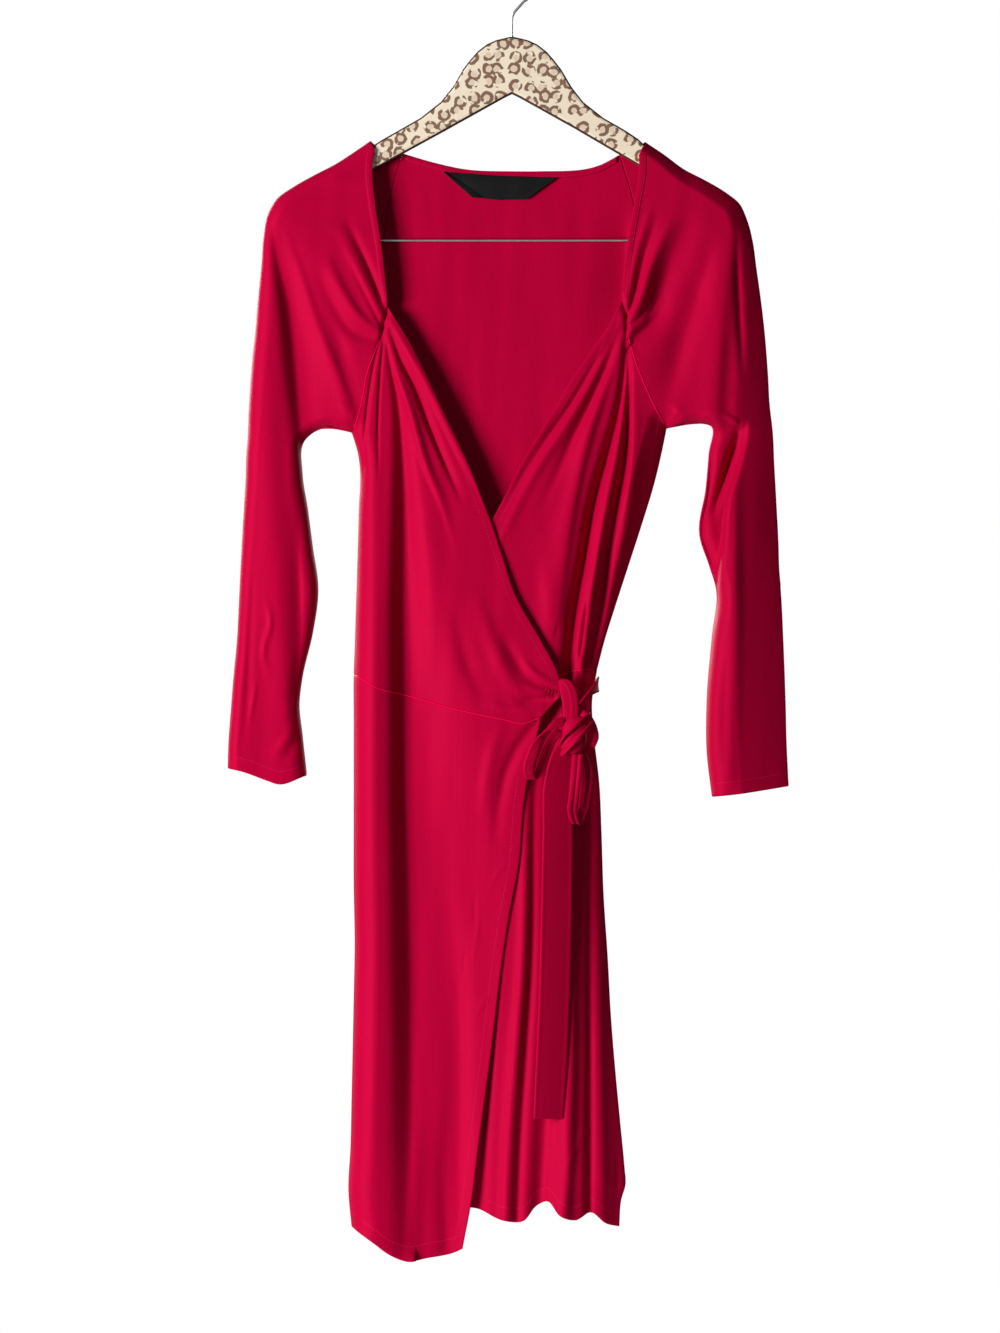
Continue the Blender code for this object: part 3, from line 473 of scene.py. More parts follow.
def patch(left, right, top, bottom, places):
    """A flat sheet stretched between four edges: the blend of its sides, plus that of its ends, less
    that of its corners. It has a row for each point of the side edges, and a column for each place
    across it (0 to 1)."""
    down = lengths(left)
    down = (down / down[-1])[:, None, None]
    across = places[None, :, None]
    sides = (1 - across) * left[:, None] + across * right[:, None]
    ends = (1 - down) * spaced(top, places)[None] + down * spaced(bottom, places)[None]
    corners = (1 - down) * ((1 - across) * left[0] + across * right[0])
    corners = corners + down * ((1 - across) * left[-1] + across * right[-1])
    return sides + ends - corners


def columns(count, turn_left, turn_right):
    """Places across a sheet, from 0 to 1: close together at a side that turns in at a silhouette, and
    with two more at each rim where a side is a free edge."""
    t = np.linspace(0, 1, count)
    if turn_left and turn_right:
        return (1 - np.cos(np.pi * t)) / 2
    if turn_left:
        t = 1 - np.cos(t * np.pi / 2)
    elif turn_right:
        t = np.sin(t * np.pi / 2)
    return rimmed(t)


# ---------------------------------------------------------------- meshes


def put_in_scene(name, data):
    """A new object in the scene from its data."""
    made = bpy.data.objects.new(name, data)
    bpy.context.scene.collection.objects.link(made)
    return made


def make(name, points, faces, skin, node=None, flat=None):
    """A smooth mesh piece from points in millimetres and its faces, with the flat coordinates of each
    face's corners, where given, as a UV map. It rides on the one body."""
    mesh = bpy.data.meshes.new(name)
    mesh.from_pydata((points * MM).tolist(), [], faces)
    mesh.polygons.foreach_set("use_smooth", np.ones(len(mesh.polygons), bool))
    if flat is not None:
        layer = mesh.uv_layers.new(name="cloth")
        layer.data.foreach_set("uv", (flat * MM).astype(np.float32).reshape(-1))
    mesh.materials.append(skin)
    mesh.update()
    piece = put_in_scene(name, mesh)
    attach(piece, "root")
    if node:
        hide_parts(node)
    return piece


def cells_of(table):
    """The four corners of each cell of a table, anticlockwise from the upper left."""
    return np.stack([table[:-1, :-1], table[1:, :-1], table[1:, 1:], table[:-1, 1:]], axis=2)


RIM_ROUND = 0.8  # how far in a wall's rim is rounded, as a share of its thickness


def wall(name, grid, thick, skin, node=None, tube_from=None):
    """A closed wall of cloth round a grid of middle points: two skins half the thickness to each side
    along the surface's normal, sharing the rim, where the thickness falls away as a quarter circle.
    From row tube_from on, the first and last columns are one, so the piece is a tube there."""
    rows, across = grid.shape[:2]
    number = np.arange(rows * across).reshape(rows, across)
    rim = np.zeros((rows, across), bool)
    rim[[0, -1]] = True
    open_rows = rows if tube_from is None else tube_from + 1
    rim[:open_rows, [0, -1]] = True
    if tube_from is not None:
        number[tube_from:, -1] = number[tube_from:, 0]
    kept, number = np.unique(number, return_inverse=True)
    number = number.reshape(rows, across)
    spot = grid.reshape(-1, 3)[kept]
    quads = cells_of(number).reshape(-1, 4)
    cross = np.cross(spot[quads[:, 2]] - spot[quads[:, 0]], spot[quads[:, 3]] - spot[quads[:, 1]])
    normal = np.zeros_like(spot)
    for corner in range(4):
        np.add.at(normal, quads[:, corner], cross)
    normal /= np.maximum(np.linalg.norm(normal, axis=1), 1e-9)[:, None]
    step_down = np.linalg.norm(np.diff(grid, axis=0), axis=2)
    step_across = np.linalg.norm(np.diff(grid, axis=1), axis=2)
    down = np.concatenate([np.zeros((1, across)), np.cumsum(step_down, axis=0)])
    over = np.concatenate([np.zeros((rows, 1)), np.cumsum(step_across, axis=1)], axis=1)
    gap = np.minimum(down, down[-1:] - down)
    side_gap = np.minimum(over, over[:, -1:] - over)
    side_gap[open_rows:] = np.inf
    part = np.clip(np.minimum(gap, side_gap) / (RIM_ROUND * thick), 0, 1)
    half = (thick / 2 * np.sqrt(1 - (1 - part) ** 2)).reshape(-1)[kept][:, None]
    rim = rim.reshape(-1)[kept]
    inner_number = np.where(rim, np.arange(len(spot)), 0)
    inner_number[~rim] = len(spot) + np.arange((~rim).sum())
    points = np.concatenate([spot + normal * half, (spot - normal * half)[~rim]])
    inner = inner_number[quads][:, ::-1]
    flat = cells_of(np.stack([over, -down], axis=2)).reshape(-1, 4, 2)
    flat = np.concatenate([flat, flat[:, ::-1]])
    return make(name, points, np.concatenate([quads, inner]).tolist(), skin, node, flat)


def tube(path, radius, sides):
    """Points and faces of a round tube carried along a path, closed by a fan at each end. Each ring is
    turned by the path's direction and a fixed upright."""
    way = np.gradient(path, axis=0)
    way /= np.linalg.norm(way, axis=1)[:, None]
    upright = np.where(np.abs(way[:, 1:2]) > 0.9, [[1.0, 0.0, 0.0]], [[0.0, 1.0, 0.0]])
    out = np.cross(way, upright)
    out /= np.linalg.norm(out, axis=1)[:, None]
    other = np.cross(way, out)
    turn = np.linspace(0, 2 * np.pi, sides, endpoint=False)[None, :, None]
    rings = path[:, None] + radius * (np.cos(turn) * out[:, None] + np.sin(turn) * other[:, None])
    ends = [path[:1] - way[:1] * radius / 2, path[-1:] + way[-1:] * radius / 2]
    ring = np.arange(sides)
    after = (ring + 1) % sides
    base = (np.arange(len(path) - 1) * sides)[:, None]
    body = np.stack([base + ring, base + after, base + after + sides, base + ring + sides], axis=2)
    last_row = (len(path) - 1) * sides
    tips = last_row + sides + np.arange(2)[:, None] + np.zeros(sides, int)
    caps = np.concatenate([
        np.stack([tips[0], after, ring], axis=1),
        np.stack([tips[1], last_row + ring, last_row + after], axis=1),
    ])
    return np.concatenate([rings.reshape(-1, 3), *ends]), body.reshape(-1, 4), caps


def tubes(name, paths, radius, skin, sides=6, node=None):
    """Several round tubes joined as one piece."""
    points, faces, total = [], [], 0
    for path in paths:
        some, body, caps = tube(path, radius, sides)
        points.append(some)
        faces += (body + total).tolist() + (caps + total).tolist()
        total += len(some)
    return make(name, np.concatenate(points), faces, skin, node)

# ---------------------------------------------------------------- materials


def put(made, socket, value):
    """A socket given a fixed value, or linked to another node's output."""
    if isinstance(value, bpy.types.NodeSocket):
        made.node_tree.links.new(value, socket)
    else:
        socket.default_value = value


def add(made, kind, values):
    """A new node, whose inputs are given values or links, by name or by number."""
    node = made.node_tree.nodes.new("ShaderNode" + kind)
    for key, value in values.items():
        put(made, node.inputs[key], value)
    return node


def dress_shader(made, values):
    """Values or links for the inputs of the material's one shader."""
    for key, value in values.items():
        put(made, made.node_tree.nodes["Principled BSDF"].inputs[key], value)
    return made


def blank(name, roughness, metallic=0.0):
    """A new material with its one shader."""
    made = bpy.data.materials.new(name)
    made.use_nodes = True
    return dress_shader(made, {"Roughness": roughness, "Metallic": metallic})


def object_place(made):
    """The piece's own coordinates, in metres."""
    return add(made, "TexCoord", {}).outputs["Object"]


def cloth_place(made):
    """The cloth's flat coordinates, in metres."""
    flat = add(made, "UVMap", {})
    flat.uv_map = "cloth"
    return flat.outputs["UV"]


def stretched(made, source, scale):
    """The source coordinates, stretched by a scale on each axis."""
    return add(made, "Mapping", {"Vector": source, "Scale": scale}).outputs["Vector"]


def noise(made, source, scale=1.0, detail=3.0, rough=0.55):
    """A noise of so many lumps to the metre."""
    values = {"Vector": source, "Scale": scale, "Detail": detail, "Roughness": rough}
    return add(made, "TexNoise", values).outputs["Fac"]


def between(made, share, low, high):
    """Two colours mixed by a share that runs from 0 to 1."""
    mixed = add(made, "Mix", {})
    mixed.data_type = "RGBA"
    for key, value in (("Factor", share), ("A", low), ("B", high)):
        put(made, mixed.inputs[key], (*value, 1) if isinstance(value, (tuple, list)) else value)
    return mixed.outputs["Result"]


def mapped(made, value, low, high, out_low=0.0, out_high=1.0):
    """A value taken from one range to another, and kept inside it."""
    values = {"Value": value, "From Min": low, "From Max": high, "To Min": out_low, "To Max": out_high}
    return add(made, "MapRange", values).outputs["Result"]


def put_together(made, operation, first, second):
    """One value worked out from two."""
    node = add(made, "Math", {0: first, 1: second})
    node.operation = operation
    return node.outputs[0]


def relief(made, height, strength, distance):
    """Bump on the shader's normal, from a height, as deep as the distance in metres."""
    bump = add(made, "Bump", {"Strength": strength, "Distance": distance, "Height": height})
    dress_shader(made, {"Normal": bump.outputs["Normal"]})


def slinky_jersey(name="slinky_jersey", shade=1.0):
    """Fine ribs of the knit, one every 0.7 mm, with a grain over them and long faint streaks, all as
    bump and a little colour, under a soft red sheen. Both colours are scaled by shade; above 1, as in the
    seams' copy, that brightening is a painted highlight."""
    made = blank(name, 0.5)
    flat = cloth_place(made)
    streak = noise(made, stretched(made, flat, (420, 11, 1)), detail=4.0, rough=0.6)
    grain = noise(made, stretched(made, flat, (900, 560, 1)), detail=4.0, rough=0.7)
    cloud = noise(made, stretched(made, flat, (30, 8, 1)), detail=3.0, rough=0.5)
    ribs = add(made, "TexWave", {"Vector": flat, "Scale": 450, "Distortion": 1.2, "Detail Scale": 3.0})
    tone = mapped(made, streak, 0.3, 0.7, 0.0, 0.3)
    tone = put_together(made, "ADD", tone, mapped(made, grain, 0.3, 0.7, 0.0, 0.45))
    tone = put_together(made, "ADD", tone, mapped(made, cloud, 0.3, 0.7, 0.0, 0.2))
    # shade above 1 brightens the cloth into a painted highlight (the seams' copy uses 1.9).
    low = [shade * part for part in (0.40, 0.0006, 0.030)]
    high = [shade * part for part in (0.53, 0.0010, 0.042)]
    height = put_together(made, "MULTIPLY", grain, 0.9)
    height = put_together(made, "ADD", mapped(made, streak, 0.3, 0.7, 0.0, 0.45), height)
    height = put_together(made, "ADD", height, put_together(made, "MULTIPLY", ribs.outputs["Fac"], 0.35))
    relief(made, height, 0.3, 0.0002)
    return dress_shader(made, {
        "Base Color": between(made, tone, low, high),
        "Specular IOR Level": 0.2,
        "Specular Tint": (1.0, 0.02, 0.10, 1),
        "Sheen Weight": 0.25,
        "Sheen Roughness": 0.4,
        "Sheen Tint": (1.0, 0.01, 0.10, 1),
    })


def red_thread():
    """Sewing thread, twisted: a fine slanting ripple along it."""
    made = blank("red_thread", 0.4)
    twist = add(made, "TexWave", {"Vector": object_place(made), "Scale": 700})
    twist.bands_direction = "DIAGONAL"
    colour = between(made, twist.outputs["Fac"], (0.62, 0.004, 0.06), (0.86, 0.02, 0.12))
    return dress_shader(made, {"Base Color": colour, "Specular Tint": (1.0, 0.2, 0.3, 1)})


def label_satin():
    """Black satin weave: long floats that run down the label, broken by a fine grain."""
    made = blank("label_satin", 0.45)
    floats = noise(made, stretched(made, cloth_place(made), (2400, 220, 1)), detail=2.0)
    relief(made, floats, 0.3, 0.0001)
    return dress_shader(made, {
        "Base Color": between(made, floats, (0.003, 0.003, 0.0035), (0.011, 0.0105, 0.012)),
        "Roughness": mapped(made, floats, 0.3, 0.7, 0.4, 0.55),
        "Specular IOR Level": 0.16,
    })


def printed_wood():
    """Lacquered wood: cream faces printed with broken brown rings about 11 mm across, on cells of a
    Voronoi pattern in the board's plane, and dark brown edges and underside with a fine grain."""
    made = blank("printed_wood", 0.38)
    place = object_place(made)
    apart = add(made, "SeparateXYZ", {0: place})
    plane = add(made, "CombineXYZ", {"X": apart.outputs["X"], "Y": apart.outputs["Z"]}).outputs[0]
    wobble = add(made, "TexNoise", {"Vector": plane, "Scale": 150})
    shift = add(made, "VectorMath", {0: wobble.outputs["Color"], 1: (0.0035, 0.0035, 0.0), 2: plane})
    shift.operation = "MULTIPLY_ADD"
    cells = add(made, "TexVoronoi", {"Vector": shift.outputs["Vector"], "Scale": 74, "Randomness": 0.55})
    cells.voronoi_dimensions = "2D"
    far = cells.outputs["Distance"]
    inner, outer = mapped(made, far, 0.20, 0.25), mapped(made, far, 0.44, 0.49, 1.0, 0.0)
    ring = put_together(made, "MULTIPLY", inner, outer)
    broken = mapped(made, noise(made, plane, 130, 1.0), 0.42, 0.46)
    ring = put_together(made, "MULTIPLY", ring, broken)
    ground = between(made, noise(made, plane, 60), (0.90, 0.76, 0.56), (0.97, 0.86, 0.68))
    spotted = between(made, mapped(made, far, 0.16, 0.24, 0.45, 0.0), ground, (0.60, 0.42, 0.28))
    printed = between(made, ring, spotted, (0.24, 0.125, 0.08))
    grain = noise(made, stretched(made, place, (60, 900, 60)))
    edge = between(made, grain, (0.045, 0.02, 0.012), (0.10, 0.05, 0.03))
    facing = add(made, "SeparateXYZ", {0: add(made, "NewGeometry", {}).outputs["Normal"]})
    on_face = mapped(made, put_together(made, "ABSOLUTE", facing.outputs["Y"], 0.0), 0.80, 0.9)
    relief(made, noise(made, stretched(made, place, (90, 400, 700))), 0.15, 0.0002)
    return dress_shader(made, {"Base Color": between(made, on_face, edge, printed)})


def bright_steel():
    """Drawn wire: fine lines along it and slight smudges in its polish."""
    made = blank("bright_steel", 0.3, 1.0)
    place = object_place(made)
    smudge = noise(made, place, 260)
    relief(made, noise(made, stretched(made, place, (40, 3000, 3000))), 0.2, 0.00005)
    return dress_shader(made, {
        "Base Color": between(made, smudge, (0.80, 0.79, 0.80), (0.90, 0.89, 0.90)),
        "Roughness": mapped(made, smudge, 0.3, 0.7, 0.28, 0.40),
    })


def studio_paper():
    """Matt pale paper for the floor."""
    made = blank("studio_paper", 0.9)
    colour = between(made, noise(made, object_place(made), 500), (0.84, 0.84, 0.84), (0.88, 0.88, 0.88))
    return dress_shader(made, {"Base Color": colour})


JERSEY = slinky_jersey()
# A copy of the jersey 1.9 times as bright: a painted highlight along the seam ridges.
JERSEY_SEAM_PAINTED_HIGHLIGHT = slinky_jersey("jersey_seam_painted_highlight", 1.9)
THREAD = red_thread()
SATIN = label_satin()
WOOD = printed_wood()
STEEL = bright_steel()
PAPER = studio_paper()

# ---------------------------------------------------------------- the cloth pieces

CLOTH = 1.5
TIE_CLOTH = 2.0
LABEL_CLOTH = 0.7
BAND_CLOTH = 0.9
BAND_WIDE = 7.0
BAND_TAPER = 0.72  # the width of the neck facings at the gather, as a share of that at the shoulder


def surface(edges, places, table, folds, is_front=True):
    """The middle surface of a panel: its four edges as a patch, given depth."""
    flat = patch(*edges, places)
    raised = front if is_front else back
    return raised(flat.reshape(-1, 2), table, folds).reshape(*flat.shape[:2], 3)


def panel(name, node, grid, sides, from_row=0):
    """A body panel, whose side columns lie in the middle plane where they run down a side seam."""
    grid[from_row:, sides, 1] = 0
    return wall(name, grid, CLOTH, JERSEY, node)


def body_side(edge, side, waist, seam_rows, side_rows, seam_start=GATHER_FOOT):
    """A bodice's side edge: down the raglan seam to the underarm, then down the side to the waist."""
    seam = rows_of(between_points(edge, SLEEVE_PARTS, seam_start, UNDERARM), seam_rows)
    return hemmed(joined(seam, rows_of(between_points(side, SIDE_PARTS, 0, waist), side_rows)))


def overlap_bodice():
    """The overlap: from the gather and the raglan seam to the waist seam and the crossing free edge."""
    edges = (
        body_side(EDGE_R, BODY_SIDE_R, WAIST_R, 34, 82),
        hemmed(rows_of(smooth(WRAP_EDGE), 116)),
        between_points(EDGE_R, SLEEVE_PARTS, GATHER_TOP, GATHER_FOOT)[::-1],
        joined(smooth(WAIST_OVER), np.array([[28, -721], [47, -700]], float)),
    )
    grid = surface(edges, columns(170, True, False), OVERLAP, FOLDS_R)
    return panel("overlap_bodice_cloth", "bodice_front_right", grid, [0], 37)


def underlap_bodice():
    """The underlap: its neck edge runs on behind the overlap to the waist."""
    edges = (
        hemmed(rows_of(smooth(UNDER_EDGE), 110)),
        body_side(EDGE_L, BODY_SIDE_L, WAIST_L, 30, 80),
        between_points(EDGE_L, SLEEVE_PARTS, GATHER_TOP, GATHER_FOOT),
        smooth(WAIST_UNDER),
    )
    grid = surface(edges, columns(150, False, True), UNDERLAP, FOLDS_L)
    return panel("underlap_bodice_cloth", "bodice_front_left", grid, [-1], 33)


def back_surface(edges, count):
    """The surface of a back panel, its columns a little closer together at both side seams."""
    places = 0.6 * columns(count, True, True) + 0.4 * np.linspace(0, 1, count)
    return surface(edges, places, BACK_BODY, BACK_FOLDS, False)[:, ::-1]


def back_bodice():
    """The back, between the back raglan seams and the sides, from the neckline to the waist."""
    edges = (
        body_side(RAGLAN_BACK_R, BODY_SIDE_R, WAIST_R, 50, 50, 1),
        body_side(RAGLAN_BACK_L, BODY_SIDE_L, WAIST_L, 50, 50, 1),
        smooth(NECKLINE),
        smooth(WAIST_BACK),
    )
    return panel("back_bodice_cloth", "bodice_back", back_surface(edges, 130), [0, -1], 53)


def overlap_skirt():
    """The overlap skirt, from the waist seam to the hem, with its long curved free edge."""
    edges = (
        hemmed(rows_of(between_points(BODY_SIDE_R, SIDE_PARTS, WAIST_R), 150)),
        hemmed(rows_of(smooth(SKIRT_EDGE), 150)),
        smooth(WAIST_OVER),
        smooth(HEM_OVER),
    )
    grid = surface(edges, columns(165, True, False), OVERLAP, FOLDS_R)
    return panel("overlap_skirt_cloth", "skirt_front_right", grid, [0])


def underlap_skirt():
    """The underlap skirt, carried on behind the overlap."""
    edges = (
        hemmed(rows_of(smooth(HIDDEN_EDGE), 140)),
        hemmed(rows_of(between_points(BODY_SIDE_L, SIDE_PARTS, WAIST_L), 140)),
        smooth(WAIST_UNDER),
        smooth(HEM_UNDER),
    )
    grid = surface(edges, columns(165, False, True), UNDERLAP, FOLDS_L)
    return panel("underlap_skirt_cloth", "skirt_front_left", grid, [-1])


def back_skirt():
    """The back skirt, a little shorter than the front."""
    edges = (
        hemmed(rows_of(between_points(BODY_SIDE_R, SIDE_PARTS, WAIST_R, BACK_HEM), 100)),
        hemmed(rows_of(between_points(BODY_SIDE_L, SIDE_PARTS, WAIST_L, BACK_HEM), 100)),
        smooth(WAIST_BACK),
        smooth(HEM_BACK),
    )
    return panel("back_skirt_cloth", "skirt_back", back_surface(edges, 140), [0, -1])


def sleeve(name, node, edge, outer, back_edge, cuff, table, folds):
    """A raglan sleeve with its shoulder: the front surface and the back surface joined at the outer
    edge and, below the underarm, at the inner one, as one grid that goes round the arm. The back of the
    cuff hangs 2 mm higher."""
    under = UNDERARM * SLEEVE_PARTS + 2
    edge, outer, back_edge, cuff = hemmed(edge), hemmed(outer), hemmed(back_edge), smooth(cuff)
    faces = []
    for line, foot, deep, these, is_front in (
        (edge, cuff, table, folds, True), (back_edge, cuff + [0, 2], BACK_SLEEVE, BACK_FOLDS, False),
    ):
        edges = (line, outer, np.array([line[0], outer[0]]), foot)
        grid = surface(edges, columns(76, True, True), deep, these, is_front)
        grid[:, -1, 1] = 0
        grid[under:, 0, 1] = 0
        faces.append(grid)
    whole = np.concatenate([faces[0], faces[1][:, -2::-1]], axis=1)
    whole[under:, -1, 2] = whole[under:, 0, 2]
    if outer[0, 0] < 0:
        whole = whole[:, ::-1]
    return wall(name, whole, CLOTH, JERSEY, node, tube_from=under)


def on_front(line, table, folds, out):
    """A line of places laid on a front surface, moved out by a distance."""
    return front(line, table, folds) - [0, out, 0]


def on_inner_back(line, out):
    """A line of places laid on the inside of the back, moved out towards the front."""
    return back(line, BACK_BODY, BACK_FOLDS) - [0, out, 0]


def on_back(line, table, out):
    """A line of places laid on the outside of the back, moved out by a distance."""
    return back(line, table, BACK_FOLDS) + [0, out, 0]


def neck_facing(name, edge, side, folds):
    """The turned and topstitched band along a front neck edge: a strip laid on the shoulder, from just
    past the edge to its stitch line, thickest along its middle."""
    line = hemmed(rows_of(between_points(edge, SLEEVE_PARTS, 0, GATHER_TOP), 60)[:-1])
    narrow = np.linspace(1.0, BAND_TAPER, len(line))[:, None]
    inwards = [side, 0] * narrow * BAND_WIDE
    grid = np.stack([
        on_front(line + inwards * step, SHOULDER, folds, 0.7 + 0.35 * (1 - abs(2 * step - 1)))
        for step in rimmed(np.linspace(-0.05, 1, 9))
    ], axis=1)
    return wall(name, grid[:, ::side], BAND_CLOTH, JERSEY)


def back_neck_band():
    """The turned band along the inside of the back neckline."""
    line = rows_of(smooth(NECKLINE), 90)[1:-1]
    grid = np.stack([
        on_inner_back(line - [0, 0.3 + 6 * step], 1.4 + 0.4 * (1 - abs(2 * step - 1)))
        for step in rimmed(np.linspace(0, 1, 7))
    ])
    return wall("back_neck_band_cloth", grid, BAND_CLOTH, JERSEY, "back_neck_band")


LABEL_TOP = [(-66, -201.5), (-12, -205.5), (43, -207)]
LABEL_FOOT = [(-38, -226), (-12, -228.5), (14, -228)]
LABEL_FOLDS = [  # piece, its ends, and which way the turned corner lies
    ("label_fold_right", (LABEL_TOP[0], LABEL_FOOT[0]), 1),
    ("label_fold_left", (LABEL_TOP[2], LABEL_FOOT[2]), -1),
]


def label():
    """The plain label: a woven strip, bulging a little, whose mitred lower corners are turned and
    pressed."""
    across = rimmed(np.linspace(0, 1, 50))
    upper, lower = spaced(LABEL_TOP, across), spaced(LABEL_FOOT, across)
    bulge = np.sin(np.linspace(0, np.pi, len(across)))
    rows = []
    for part in rimmed(np.linspace(0, 1, 18)):
        spots = on_inner_back(upper * (1 - part) + lower * part, 2.9)
        spots[:, 1] -= 1.2 * np.sin(np.pi * part) * bulge
        rows.append(spots)
    wall("label_satin_strip", np.stack(rows), LABEL_CLOTH, SATIN, "neck_label")
    for name, ends, lean in LABEL_FOLDS:
        line = rows_of(ends, 24)
        taper = np.sin(np.linspace(0.12, 1, len(line)) * np.pi / 2)[:, None]
        grid = np.stack([
            on_inner_back(line + [lean, 0] * taper * 9 * step, 3.9 + 0.7 * (1 - step))
            for step in rimmed(np.linspace(0, 1, 6))
        ], axis=1)
        wall(name, grid[:, ::lean], LABEL_CLOTH, SATIN)


# ---------------------------------------------------------------- the tie


def ribbon(name, middle, half, camber, folds, node=None, rows=12, across=21):
    """A tie folded from cloth: a smooth line of middles with a half-width vector at each, arched across
    by the camber, with long folds, each (place across from -1 to 1, width, height)."""
    line = hemmed(curve(middle, rows))
    wide = hemmed(curve(np.concatenate([np.array(middle, float), np.array(half, float)], 1), rows)[:, 3:])
    run = np.gradient(line, axis=0)
    normal = np.cross(run, wide)
    normal /= np.linalg.norm(normal, axis=1)[:, None]
    side = rimmed(np.linspace(-1, 1, across))
    rise = camber * (1 - side**2)
    for place, width, height in folds:
        rise = rise + height * np.exp(-(((side - place) / width) ** 2))
    grid = line[:, None] + side[None, :, None] * wide[:, None] + rise[None, :, None] * normal[:, None]
    return wall(name, grid, TIE_CLOTH, JERSEY, node)


KNOT_CORE_CLOTH = 0.8


def tie():
    """Strap, side band, knot, two bow loops and the long tail."""
    ribbon(
        "tie_strap_cloth",
        [(45.4, -27, -685.5), (50, -29.5, -690), (53.6, -31.5, -698), (55.3, -32.5, -708), (55.6, -33, -718),
         (55.6, -33.5, -729)],
        [(1.2, 0, 1.2), (5, 0, 3.6), (7.4, 0, 2.6), (7.6, 0, 0.6), (7.2, 0, 0), (6.2, 0, 0)],
        0.5, [(0.2, 0.1, 0.5)], "tie_strap",
    )
    ribbon(
        "tie_side_band_cloth",
        [(66, 16, -697), (75, 13, -694), (81, 6, -691), (82.5, -3, -690), (80, -13, -692), (75, -22, -697),
         (68, -29, -705), (62, -32, -712)],
        [(0, 0, 6), (0.6, 0, 6.5), (0, 0, 7), (0, 0, 7.4), (1.5, 0, 7), (3, 0, 6), (3.4, 0, 5), (3, 0, 4)],
        1.2, [], "tie_side_band",
    )
    ribbon(
        "bow_loop_upper_cloth",
        [(50, -36, -725), (38, -40, -728), (27, -42, -739), (19, -42, -756), (15.5, -40, -772),
         (19, -35, -779),
         (25, -32, -773), (31, -31, -757), (38, -31, -742), (46, -31, -733)],
        [(1.5, 3, 5), (2.5, 3, 5), (4.4, 2, 2.4), (5, 1, -1), (5, 1, -1), (5.4, 1, 0), (5, 1, 1),
         (4.6, 1, -1),
         (4, 1, -2), (3, 0, -3)], 0.4, [(-0.62, 0.1, 0.5)], "bow_loop_upper", 9,
    )
    ribbon(
        "bow_loop_lower_cloth",
        [(62, -44, -756), (60.5, -47, -775), (58.5, -47.5, -795), (57, -46, -811), (60.5, -42, -821),
         (66, -39, -811),
         (69.5, -38, -792), (70, -38, -772), (66, -38, -757)],
        [(5, 0, 0), (5, 0, 0), (4.8, 1, 0), (4.8, 2, -1.5), (5, 2, -1), (5, 1, -0.5), (5.6, 0, 0),
         (6.2, 0, 0.5),
         (5, 0, 0)], 0.7, [(0.1, 0.3, -1.0)], "bow_loop_lower", 9,
    )
    ribbon(
        "tie_tail_cloth",
        [(52, -32, -744), (48, -31, -757), (44.5, -29.5, -778), (43.5, -28.5, -830), (42.5, -28, -900),
         (40.5, -28, -980), (37, -28, -1060), (34.5, -28, -1102)],
        [(8, 3, 0), (11, 4, 0), (13.5, 4.5, 0), (14.5, 5, 0), (15, 5, 0), (15, 5, 0), (15, 5, 0),
         (14.5, 5, 0)],
        0.5, [(-0.9, 0.06, 0.5), (0.86, 0.07, 0.6)], "tie_tail", 14,
    )
    knot()


def knot():
    """The knot: a core, slightly ribbed, and three turns of the folded tie drawn tight. Two are short
    fat ribbons that cross its front from low on the right to high on the left, as worn."""
    turn, up = np.meshgrid(np.linspace(0, 2 * np.pi, 48), np.linspace(0.02, 0.98, 26) * np.pi - np.pi / 2)
    round_up = np.cos(up) ** 0.8
    side = round_up * np.cos(turn)
    high = np.sign(np.sin(up)) * np.abs(np.sin(up)) ** 0.9
    swell = 1 + 0.07 * np.cos(3.4 * (side * 1.2 - high * 1.4))
    x = 59 + 11.5 * side * swell + 4 * high
    y = -41 + 8 * round_up * np.sin(turn) * swell
    z = -738 + 18 * high - 2 * side
    grid = np.stack([x, y, z], axis=2)[::-1, ::-1]
    wall("knot_core_cloth", grid, KNOT_CORE_CLOTH, JERSEY, "tie_knot", tube_from=0)
    ribbon(
        "knot_wrap_upper",
        [(47, -38, -745), (48.5, -47, -741), (55, -51.5, -733), (63, -50.5, -726), (69, -45, -722),
         (70, -38, -721)],
        [(2.5, 1, 5), (3, 0, 5.5), (4, 0, 5.5), (4.5, 0, 5.5), (4, 0, 5), (3.5, 1, 4.5)],
        0.9, [(0.1, 0.12, -0.6)], None, 8,
    )
    ribbon(
        "knot_wrap_lower",
        [(48, -36, -752), (51, -46, -751), (58, -50.5, -745), (66, -50, -737), (72, -44, -731),
         (73.5, -36, -729)],
        [(2, 1, 6), (3, 0, 6.5), (4, 0, 7), (4.5, 0, 7), (4, 0, 6), (3.5, 1, 5)],
        1.0, [(0.0, 0.14, -0.8)], None, 8,
    )
    ribbon(
        "knot_strand_right",
        [(66, -40, -717), (72, -41, -722), (77, -40, -731), (79, -38, -741), (76, -36, -749)],
        [(2, 0, 3), (2.4, 0, 3), (3, 0, 2), (3, 0, 0.5), (2.5, 0, -1)],
        0.8, [], None, 8, 9,
    )


# ---------------------------------------------------------------- seams and stitches

THREAD_OUT = CLOTH / 2 + 0.05  # from the cloth's middle to a stitch
FINE_THREAD_OUT = CLOTH / 2 + 0.02
BODY_STITCH = (1.9, 3.1, 0.22)  # length, pitch and radius
FINE_STITCH = (1.7, 3.1, 0.16)
NECK_STITCH = (1.8, 3.0, 0.2)


def seam_line(name, lines):
    """Fine raised seams: round threads of cloth along lines of points, brightened by a painted highlight."""
    return tubes(name, lines, 0.6, JERSEY_SEAM_PAINTED_HIGHLIGHT)


def stitches(name, line, sizes=BODY_STITCH):
    """A row of stitches: short round threads spaced along a line of points."""
    length, pitch, radius = sizes
    along = lengths(line)
    parts = np.linspace(0, 1, 4) * length
    paths = []
    for start in np.arange(0, along[-1] - length, pitch):
        paths.append(np.stack([np.interp(start + parts, along, values) for values in line.T], 1))
    return tubes(name, paths, radius, THREAD, 5)


